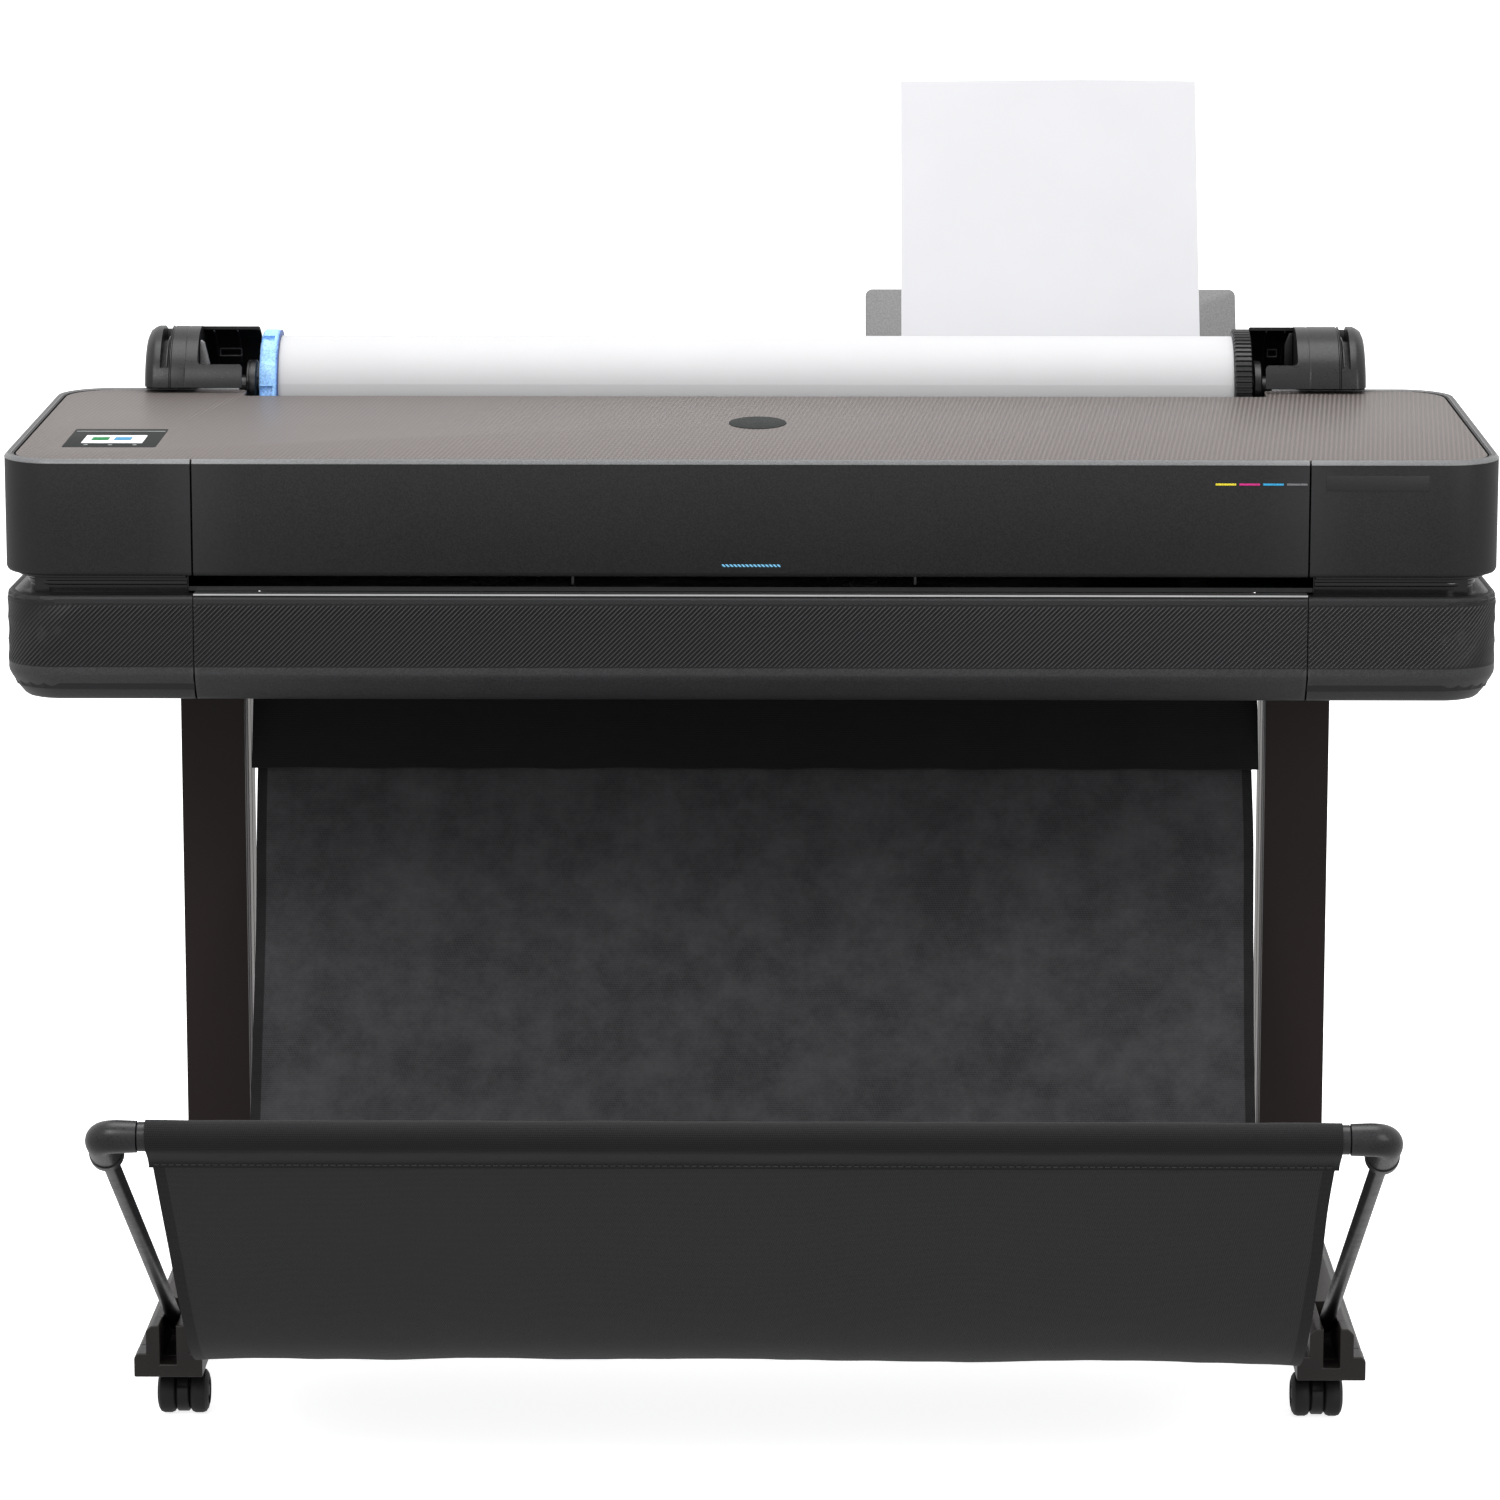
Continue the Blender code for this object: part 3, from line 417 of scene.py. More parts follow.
def lathe(name, profile, centre, material=None, body=None, axis="X", steps=96, smooth=35, wave=None,
          replaces=""):
    """Turn (radius, height) points about an axis through centre; wave(angle, radius) adds to the radius."""
    bm = bmesh.new()
    rings = []
    for radius, height in profile:
        if not radius:
            rings.append([bm.verts.new(axis_place(axis, 0, 0, height))])
            continue
        ring = []
        for i in range(steps):
            angle = 2 * math.pi * i / steps
            r = radius + (wave(angle, radius) if wave else 0.0)
            ring.append(bm.verts.new(axis_place(axis, r * math.cos(angle), r * math.sin(angle), height)))
        rings.append(ring)
    pairs = list(zip(rings, rings[1:]))
    if profile[0][0] and profile[-1][0]:
        pairs.append((rings[-1], rings[0]))
    for first, second in pairs:
        for i in range(steps):
            quad = ((first, i), (first, i + 1), (second, i + 1), (second, i))
            unique = list(dict.fromkeys(ring[k % len(ring)] for ring, k in quad))
            if len(unique) > 2:
                bm.faces.new(unique)
    bmesh.ops.translate(bm, vec=centre, verts=bm.verts)
    mesh = mesh_from(name, bm)
    return put(name, mesh, material, body, smooth, replaces) if material else mesh


def mirrored(half):
    """A lathe profile from its half on the far side of its middle."""
    return half + [(radius, -height) for radius, height in reversed(half)]


def pipe(name, points, radius, material, body, sides, replaces=""):
    """A round tube through the points, its ends closed; the radius may depend on the share of the way."""
    bm = bmesh.new()
    points = [Vector(p) for p in points]
    up = Vector((0, 0, 1))
    if abs((points[1] - points[0]).normalized().z) > 0.9:
        up = Vector((0, 1, 0))
    rings = []
    side = None
    for i, point in enumerate(points):
        along = (points[min(i + 1, len(points) - 1)] - points[max(i - 1, 0)]).normalized()
        side = along.cross(up).normalized() if side is None else (side - along * side.dot(along)).normalized()
        over = side.cross(along)
        r = radius(i / (len(points) - 1)) if callable(radius) else radius
        rings.append([bm.verts.new(point + (side * math.cos(a) + over * math.sin(a)) * r)
                      for a in (2 * math.pi * k / sides for k in range(sides))])
    for first, second in zip(rings, rings[1:]):
        for k in range(sides):
            bm.faces.new((first[k], first[(k + 1) % sides], second[(k + 1) % sides], second[k]))
    bm.faces.new(rings[0])
    bm.faces.new(rings[-1][::-1])
    return put(name, mesh_from(name, bm), material, body, replaces=replaces)


def round_path(points, radius, steps=8):
    """A polyline with its corners rounded."""
    points = [Vector(p) for p in points]
    path = [points[0]]
    for before, corner, after in zip(points, points[1:], points[2:]):
        a = corner + (before - corner).normalized() * radius
        b = corner + (after - corner).normalized() * radius
        for i in range(steps + 1):
            t = i / steps
            path.append(a * (1 - t) ** 2 + corner * 2 * t * (1 - t) + b * t ** 2)
    path.append(points[-1])
    return path


def scratch(mesh):
    ob = bpy.data.objects.new("scratch", mesh)
    bpy.context.scene.collection.objects.link(ob)
    return ob


def applied(target, *tools):
    """An object's mesh after its modifiers; the object and its tools are removed."""
    bpy.context.view_layer.update()
    result = bpy.data.meshes.new_from_object(target.evaluated_get(bpy.context.evaluated_depsgraph_get()))
    for ob in (*tools, target):
        bpy.data.objects.remove(ob)
    return result


def carve(mesh, cutters, operation="DIFFERENCE"):
    """Boolean a mesh with others, and return the new mesh."""
    target = scratch(mesh)
    tools = [scratch(cutter) for cutter in cutters]
    for tool in tools:
        modifier = target.modifiers.new("cut", "BOOLEAN")
        modifier.operation = operation
        modifier.object = tool
    return applied(target, *tools)


def softened(mesh, width, segments=2, angle=40):
    """Round a mesh's sharp edges with a bevel, and return the new mesh."""
    target = scratch(mesh)
    bevel = target.modifiers.new("bevel", "BEVEL")
    bevel.width = width
    bevel.segments = segments
    bevel.limit_method = "ANGLE"
    bevel.angle_limit = math.radians(angle)
    mesh.shade_smooth()
    target.modifiers.new("normals", "WEIGHTED_NORMAL").keep_sharp = True
    return applied(target)


def thin_shell(bm, thickness):
    """Give an open skin a back face and closed edges."""
    mesh = bpy.data.meshes.new("skin")
    bm.to_mesh(mesh)
    bm.free()
    target = scratch(mesh)
    solid = target.modifiers.new("solid", "SOLIDIFY")
    solid.thickness = thickness
    solid.offset = -1
    return applied(target)


def arc(centre, radius, start, end, steps=12):
    angles = [math.radians(start + (end - start) * i / steps) for i in range(steps + 1)]
    return [(centre[0] + radius * math.cos(a), centre[1] + radius * math.sin(a)) for a in angles]


def band(centre, first, second, start, end, steps):
    """An outline between two arcs of different radii."""
    return arc(centre, first, start, end, steps) + arc(centre, second, end, start, steps)


def turned_node(name):
    """A turned CAD node: its box's corners, middle, half length along X and radius."""
    low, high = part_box(name)
    return low, high, (low + high) / 2, (high.x - low.x) / 2, (high.z - low.z) / 2


# --------------------------------------------------------- casing skins

class Route:
    """An open plan path with rounded corners; position and outward normal at any distance along it."""

    def __init__(self, corners, radii):
        self.parts = []
        self.length = 0.0
        points = [Vector(c) for c in corners]
        start = points[0]
        for i in range(1, len(points)):
            along = (points[i] - points[i - 1]).normalized()
            radius = radii[i] if i < len(points) - 1 else 0.0
            end = points[i] - along * radius
            self.add(("line", start, along, (end - start).length))
            if radius:
                after = (points[i + 1] - points[i]).normalized()
                centre = end + Vector((-along.y, along.x)) * radius
                self.add(("arc", centre, along, radius * math.pi / 2, radius))
                start = points[i] + after * radius

    def add(self, part):
        self.parts.append((self.length, part))
        self.length += part[3]

    def at(self, s):
        begin, part = [p for p in self.parts if p[0] <= s + 1e-9][-1] if s > 0 else self.parts[0]
        t = s - begin
        along = part[2]
        outward = Vector((along.y, -along.x))
        if part[0] == "line":
            return part[1] + along * t, outward
        turn = Matrix.Rotation(t / part[4], 2)
        return part[1] + (turn @ outward) * part[4], turn @ outward

    def stops(self, arc_steps=14):
        """Distances at which a smooth skin needs a column."""
        found = [0.0]
        for begin, part in self.parts:
            steps = arc_steps if part[0] == "arc" else max(1, int(part[3] / 0.08))
            found += [begin + part[3] * (i + 1) / steps for i in range(steps)]
        return found


def casing_route(depth):
    """Round the casing's sides and front, from a depth on one side to the same on the other."""
    return Route([(-HALF_WIDTH, depth), (-HALF_WIDTH, 0), (HALF_WIDTH, 0), (HALF_WIDTH, depth)],
                 [0, CORNER, CORNER, 0])


def skin_grid(route, columns, rows, lift=None):
    """A mesh over the route. Rows give inset, height and a share of the lift; with a lift, columns slant."""
    bm = bmesh.new()
    crest = bm.verts.layers.float.new("crest")
    grid = []
    for inset, height, *share in rows:
        line = []
        for s in columns:
            place, outward = route.at(min(max(s + height if lift else s, 0.0), route.length))
            raised = lift(s) * share[0] if share else 0.0
            spot = place + outward * (raised - inset)
            vert = bm.verts.new((spot.x, spot.y + FRONT, height_at(height, spot.y)))
            vert[crest] = min(raised / 0.0005, 1.0)
            line.append(vert)
        grid.append(line)
    fill_grid(bm, [list(line) for line in zip(*grid)])
    return bm


def fill_grid(bm, grid):
    """Faces between the rows of a grid of corners."""
    for first, second in zip(grid, grid[1:]):
        for k in range(len(first) - 1):
            bm.faces.new((first[k], first[k + 1], second[k + 1], second[k]))


def height_at(height, y):
    """Heights above the upper casing's middle follow the sloping top."""
    return height + TOP_SLOPE * max(y, 0.0) if height > (TOP_FRONT + UPPER_BOTTOM) / 2 else height


def slice_x(bm, low, high):
    """Keep what lies between two X planes."""
    for plane, keep in ((low, 1), (high, -1)):
        geometry = bm.verts[:] + bm.edges[:] + bm.faces[:]
        bmesh.ops.bisect_plane(bm, geom=geometry, dist=1e-6, plane_co=(plane, 0, 0), plane_no=(-keep, 0, 0),
                               clear_outer=True)
    return bm


def trim_behind(bm, depth):
    """Drop the faces further back than a depth."""
    behind = [f for f in bm.faces if f.calc_center_median().y > FRONT + depth]
    bmesh.ops.delete(bm, geom=behind, context="FACES")


PARTS_X = {"left": (-1.0, -SEAM_X - SEAM_HALF), "middle": (-SEAM_X + SEAM_HALF, SEAM_X - SEAM_HALF),
           "right": (SEAM_X + SEAM_HALF, 1.0)}


def rib_skins():
    """The lower casing's outer skin: slanted ribs, flatter round both corners, over a smooth bevel."""
    depth = LOWER_HIGH.y - FRONT - 0.021
    route = casing_route(depth)
    pitch, height = 0.0044, 0.001
    middle_height, bevel_top = 0.7, 0.6757
    arc_start, fade = HALF_WIDTH - CORNER, 0.06
    section = {0.0: 0.0, 0.14: 0.75, 0.3: 1.0, 0.46: 0.75, 0.6: 0.0}    # a rib's lift at shares of the pitch
    lifts = {(i + share) * pitch - CASE_BOTTOM: lift for i in range(-170, int(route.length / pitch) + 40)
             for share, lift in section.items()}

    def lift_at(s):
        turned = (abs(s + middle_height - route.length / 2) - arc_start) / fade
        return lifts[s] * height * (1.0 - 0.92 * min(max(turned, 0.0), 1.0))

    rows = [(inset, LOWER_TOP + up) for inset, up in (
        (0.029, -0.0006), (0.027, SKIN), (0.012, SKIN), (0.007, 0.0001), (0.003, -0.0012), (0.001, -0.0025),
        (0.0, -0.0041), (0.0002, -0.0044), (0.002, -0.0045), (0.002, -0.006), (0.0003, -0.0061),
        (-SKIN, -0.0066), (-SKIN, -0.0082))]
    rows += [(-SKIN, up, 1.0) for up in (LOWER_TOP - 0.0092, 0.715, 0.695, 0.68)]
    rows += [(-SKIN, 0.6768, 0.9), (-SKIN, bevel_top), (-SKIN, 0.6702)]
    rows += [(0.0002, 0.6672), (0.0024, 0.6629), (0.006, 0.6573), (0.0096, 0.652), (0.0136, 0.6472)]
    base = CASE_BOTTOM - SKIRT
    rows += [(0.0166, base + 0.001), (0.0205, base), (0.03, base), (0.032, base + 0.001),
             (0.033, CASE_BOTTOM + 0.0003)]
    for word, (left, right) in PARTS_X.items():
        bm = skin_grid(route, list(lifts), rows, lift_at)
        for vert in [v for v in bm.verts if v.co.y - FRONT > depth - 0.0005 and abs(v.co.x) > 0.6]:
            vert.co.y = FRONT + depth
        bmesh.ops.remove_doubles(bm, verts=bm.verts, dist=1e-7)
        slice_x(bm, left, right)
        ob = put("lower_skin_" + word, thin_shell(bm, 0.0007), "ribbed", "base", 40)
        # The bottom bevel takes the lighter bevel copy of the charcoal: painted light.
        more_looks(ob, ("dark_satin", "bevel"),
                   lambda c: 1 if c.z > LOWER_TOP - 0.006 else 2 if c.z < bevel_top else 0)


def neck_skins():
    """The glossy neck between the casings: a ledge under the upper one, then a rounded wall."""
    route = casing_route(COVER_HIGH.y - FRONT - 0.004)
    rows = [(0.01, 0.76), (0.0096, 0.7562), (0.01, 0.7546), (0.0112, 0.754), (0.019, 0.7538), (0.02, 0.753),
            (0.0202, 0.7505), (0.019, 0.75), (0.0186, 0.7485), (0.019, 0.747), (0.0202, 0.7464),
            (0.0206, 0.7396)]
    for word, left, right in (("left", -1.0, -SEAM_X - 0.007), ("right", SEAM_X + 0.007, 1.0)):
        bm = slice_x(skin_grid(route, route.stops(), rows), left, right)
        put("neck_" + word, thin_shell(bm, 0.0004), "gloss_black", "base", 40)


def upper_skins():
    """The upper casing's outer skin, with a rounded rim round the inlay."""
    depth = COVER_HIGH.y - FRONT
    route = Route([(-SEAM_X, depth), (-HALF_WIDTH, depth), (-HALF_WIDTH, 0), (HALF_WIDTH, 0),
                   (HALF_WIDTH, depth), (SEAM_X, depth)], [0, CORNER, CORNER, CORNER, CORNER, 0])
    rows = [(inset, TOP_FRONT + up) for inset, up in (
        (0.0062, -0.003), (0.0061, 0.0004), (0.0056, 0.001), (0.0048, 0.0012), (0.0022, 0.0012),
        (-0.0006, -0.0021), (-0.0006, -0.0028), (-0.0001, -0.0031), (-SKIN, -0.004))]
    rows += [(-SKIN, 0.82)]
    rows += [(inset, UPPER_BOTTOM + up) for inset, up in (
        (-SKIN, 0.004), (0.0006, 0.0018), (0.0018, 0.0004), (0.0036, -SKIN), (0.011, -SKIN),
        (0.0125, 0.0006))]

    def look(centre):
        """The rim's slope carries a pale painted highlight, and its flat top a slighter painted light over
        the charcoal.
        """
        above = centre.z - TOP_FRONT - TOP_SLOPE * max(centre.y - FRONT, 0.0)
        return 0 if above <= -0.0027 else 2 if above > 0.0009 else 1

    for word, (left, right) in PARTS_X.items():
        bm = skin_grid(route, route.stops(), rows)
        if word == "middle":
            trim_behind(bm, 0.1)
        slice_x(bm, left, right)
        body = "front_window" if word == "middle" else "base"
        ob = put("upper_skin_" + word, thin_shell(bm, 0.0007), "charcoal", body, 40)
        more_looks(ob, ("rim", "bevel"), look)
    seam_lines(route, rows)


def seam_lines(route, rows):
    """Near-black fillers at the bottom of the seams between the skins, as painted shade in the gaps."""
    base = CASE_BOTTOM - SKIRT
    lower_rows = [(0.01, LOWER_TOP), (0.002, LOWER_TOP - 0.002), (0.0001, LOWER_TOP - 0.006),
                  (0.0001, 0.6702), (0.0006, 0.6675), (0.0028, 0.6632), (0.0066, 0.6578), (0.0106, 0.653),
                  (0.0148, 0.6487),
                  (0.0175, base + 0.0016), (0.0208, base + 0.0006), (0.03, base + 0.0006)]
    upper_rows = [(inset + 0.0003, height - 0.0003) for inset, height in rows]
    for word, side in SIDES:
        x = side * (SEAM_X + (0.0004 + SEAM_HALF / 2))
        for name, these in (("upper", upper_rows), ("lower", lower_rows)):
            bm = skin_grid(route, route.stops(), these)
            trim_behind(bm, 0.05)
            slice_x(bm, x - SEAM_HALF / 2, x + SEAM_HALF / 2)
            put(f"seam_{name}_{word}", thin_shell(bm, 0.0002), "gap_painted_shade", "base", 40)


def top_outline(grow, steps=14):
    """The inlay's plan: rounded corners and a notch at the back for each spindle holder."""
    half_x = TOP_HIGH.x + grow
    front = TOP_LOW.y - FRONT - grow
    rear = TOP_HIGH.y - FRONT + grow
    notch, middle = 0.485 - grow, 0.4 + grow
    half = arc((half_x - 0.042, front + 0.042), 0.042, -90, 0, steps)
    half += arc((half_x - 0.045, rear - 0.045), 0.045, 0, 90, steps)
    half += arc((notch + 0.006, rear - 0.006), 0.006, 90, 180, 5)
    half += arc((notch - 0.006, middle + 0.006), 0.006, 0, -90, 5)
    return half + [(-x, y) for x, y in reversed(half)]


def on_top(x, y, lift=0.0):
    """A point on the sloping top surface."""
    return at(x, y, TOP_FRONT + TOP_SLOPE * y + lift)


def tilted_slab(name, outline, low, high, radius, material, replaces=""):
    """A slab that follows the sloping top; low and high are depths relative to its surface."""
    mesh = prism(name, outline, "Z", (low, high), radius)
    for vert in mesh.vertices:
        vert.co = on_top(*vert.co)
    return put(name, mesh, material, "base", replaces=replaces)


def rounded_rectangle(x_range, y_range, radius, steps=5):
    (x0, x1), (y0, y1) = x_range, y_range
    corners = ((x1 - radius, y0 + radius, -90), (x1 - radius, y1 - radius, 0), (x0 + radius, y1 - radius, 90),
               (x0 + radius, y0 + radius, 180))
    return [p for cx, cy, start in corners for p in arc((cx, cy), radius, start, start + 90, steps)]


def display_range():
    """The display frame's extent in X and, from the casing's front, in Y."""
    low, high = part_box("display_bezel")
    return (low.x, high.x), (low.y - FRONT, high.y - FRONT)


def top_cover():
    slab = tilted_slab("top_inlay", top_outline(-0.0014), -0.003, 0.0, 0.0004, "taupe", "top_cover")
    x_range, y_range = ((low - 0.0003, high + 0.0003) for low, high in display_range())
    hole = prism("hole", rounded_rectangle(x_range, y_range, 0.004), "Z", (0.8, 0.95))
    for vert in hole.vertices:
        vert.co.y += FRONT
    slab.data = carve(slab.data, [hole])
    slab.data.set_sharp_from_angle(angle=math.radians(35))


def display():
    (x0, x1), (y0, y1) = display_range()
    glass_low, glass_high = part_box("display_glass")
    left, right = glass_low.x, glass_high.x
    front, rear = y0 + 0.023, y0 + 0.069
    width = right - left
    tilted_slab("display_surround", rounded_rectangle((x0, x1), (y0, y1), 0.002), -0.0028, 0.0002, 0.0003,
                "bezel", "display_bezel")
    tilted_slab("display_screen", rounded_rectangle((left, right), (front, rear), 0.001), -0.001, 0.0004,
                0.0001, "screen", "display_glass")
    for name, look, start, end in (("icon_status", "icon_green", 0.13, 0.41),
                                   ("icon_ink", "icon_blue", 0.5, 0.78)):
        across = (left + width * start, left + width * end)
        outline = rounded_rectangle(across, (front + 0.015, front + 0.034), 0.002)
        tilted_slab(name, outline, 0.0002, 0.00055, 0, look)
    for i in range(3):
        x = left + width * (0.1 + 0.4 * i)
        outline = [(x + 1.6 * px, front - 0.0105 + py) for px, py in arc((0, 0), 0.0013, 0, 337.5, 15)]
        tilted_slab(f"panel_key_{i}", outline, 0.0001, 0.00045, 0, "key")
    # A pale glowing strip near the rear of the display frame: a painted highlight along an edge.
    line = rounded_rectangle((x0 + 0.002, x1 - 0.001), (y1 - 0.016, y1 - 0.014), 0.0008)
    tilted_slab("display_painted_edge_highlight", line, 0.0001, 0.0004, 0, "key")


def front_marks():
    """Ink colour marks, a blank label plate, the status light and a plain badge."""
    for i, word in enumerate(INKS):
        x = 0.41 + 0.0209 * i
        block("colour_mark_" + word, at(x, -0.0008, 0.8394), at(x + 0.0182, 0.0002, 0.8412), 0.00025,
              "ink_" + word, "front_window", 2)
    block("label_plate", at(0.5076, -0.0007, 0.8349), at(0.5982, 0.0003, 0.8482), 0.0002, "charcoal",
          "base", 2)
    block("status_strip", at(-0.025, -0.0007, 0.7664), at(0.027, 0.0003, 0.7686), 0.0002, "strip",
          "front_window", 2)
    badge = [(0.0045 + 0.0265 * math.cos(a), 0.228 + 0.037 * math.sin(a))
             for a in (2 * math.pi * k / 48 for k in range(48))]
    tilted_slab("plain_badge", badge, -0.0005, 0.0007, 0.0003, "bezel")


# ------------------------------------------------------------- roll feed

def roll():
    low, high, centre, half, radius = turned_node("paper_roll")
    bore, turns = 0.0258, 12
    face = [(bore + (radius - bore) * t / turns, half - 0.0006 + 0.0004 * (t % 2)) for t in range(turns)]
    profile = mirrored(face + [(radius - 0.0004, half), (radius, half - 0.0004)])
    lathe("paper_winding", profile, centre, "roll", "spindle", steps=144, replaces="paper_roll")
    flap = band((centre.y, centre.z), radius + 0.0003, radius - 0.0002, 242, 170, 8)
    prism("paper_leading_edge", flap, "X", (low.x + 0.0002, high.x - 0.0002), 0, "roll", "spindle")
    core = mirrored([(bore - 0.002, half - 0.001), (bore, half - 0.001)])
    lathe("paper_core", core, centre, "tray", "spindle")


def blue_hub():
    low, high, centre, half, outer = turned_node("roll_hub_blue")
    flat_half = 7.5                         # half the angle that a flat takes up

    def flat(angle, radius):
        """Six shallow flats round the rim."""
        off = (math.degrees(angle) - 142 + 30) % 60 - 30
        if radius < outer * 0.9 or abs(off) > flat_half:
            return 0.0
        return radius * (math.cos(math.radians(flat_half)) / math.cos(math.radians(off)) - 1) - 0.0007

    profile = [(0.011, half), (outer * 0.62, half), (outer * 0.66, half - 0.004),
               (outer * 0.86, half - 0.004), (outer * 0.9, half), (outer - 0.0022, half),
               (outer, half - 0.0022), (outer, -half + 0.003),
               (outer - 0.0018, -half + 0.0012), (outer - 0.004, -half), (0.011, -half)]
    cutters = []
    for k in range(6):
        slot = raw_block((low.x + 0.0012, -0.0045, outer - 0.0035), (low.x + 0.013, 0.0045, outer + 0.01))
        slot.transform(Matrix.Rotation(math.radians(87 + 60 * k), 4, "X"))
        slot.transform(Matrix.Translation((0, centre.y, centre.z)))
        cutters.append(slot)
    hub = carve(lathe("blue_hub", profile, centre, steps=240, wave=flat), cutters)
    put("roll_hub_blue_body", softened(hub, 0.0003, 1, 50), "blue", "spindle", 16, "roll_hub_blue")
    # A dark-blue ring on the hub's face towards the paper: a painted shadow line.
    edge = [(outer - inset, high.x + out) for inset, out in (
        (0.006, -0.0002), (0.0008, -0.0002), (0.0008, 0.0003), (0.006, 0.0003))]
    lathe("roll_hub_blue_edge", edge, (0, centre.y, centre.z), "blue_painted_shadow", "spindle", steps=144)


def ribbed_hub():
    _, _, centre, half, outer = turned_node("roll_hub_gear")
    teeth = 66

    def ribbed(angle, radius):
        share = (angle * teeth / (2 * math.pi)) % 1.0
        return 0.0 if radius < outer * 0.94 or 0.22 < share < 0.78 else -0.0016

    profile = [(0.011, half), (outer * 0.8, half), (outer * 0.84, half - 0.0015),
               (outer * 0.92, half - 0.0015), (outer - 0.0022, half), (outer, half - 0.001),
               (outer, -half + 0.001), (outer - 0.0022, -half), (outer * 0.92, -half), (0.011, -half)]
    lathe("roll_hub_ribbed", profile, centre, "dark_satin", "spindle", steps=teeth * 6, smooth=25,
          wave=ribbed, replaces="roll_hub_gear")


def spindle_shaft():
    """The shaft with the collar that carries each hub."""
    low, high, centre, half, _ = turned_node("spindle_rod")
    right, left = half - 0.0295, -half + 0.0415
    profile = [(0.0, half), (0.0105, half), (0.012, half - 0.0015), (0.012, right + 0.0005)]
    profile += [(radius, right - back) for radius, back in (
        (0.0245, 0.0), (0.0265, 0.0012), (0.0265, 0.0068), (0.0245, 0.0083), (0.01, 0.0083))]
    profile += [(radius, left + out) for radius, out in (
        (0.01, 0.01), (0.0245, 0.01), (0.0265, 0.0088), (0.0265, 0.004), (0.0255, 0.0036), (0.0255, 0.0028),
        (0.0265, 0.0024), (0.0262, 0.0008), (0.0245, 0.0), (0.012, -0.0005))]
    profile += [(0.012, -half + 0.0015), (0.0105, -half), (0.0, -half)]
    lathe("spindle_shaft", profile, centre, "dark_satin", "spindle", smooth=30, replaces="spindle_rod")


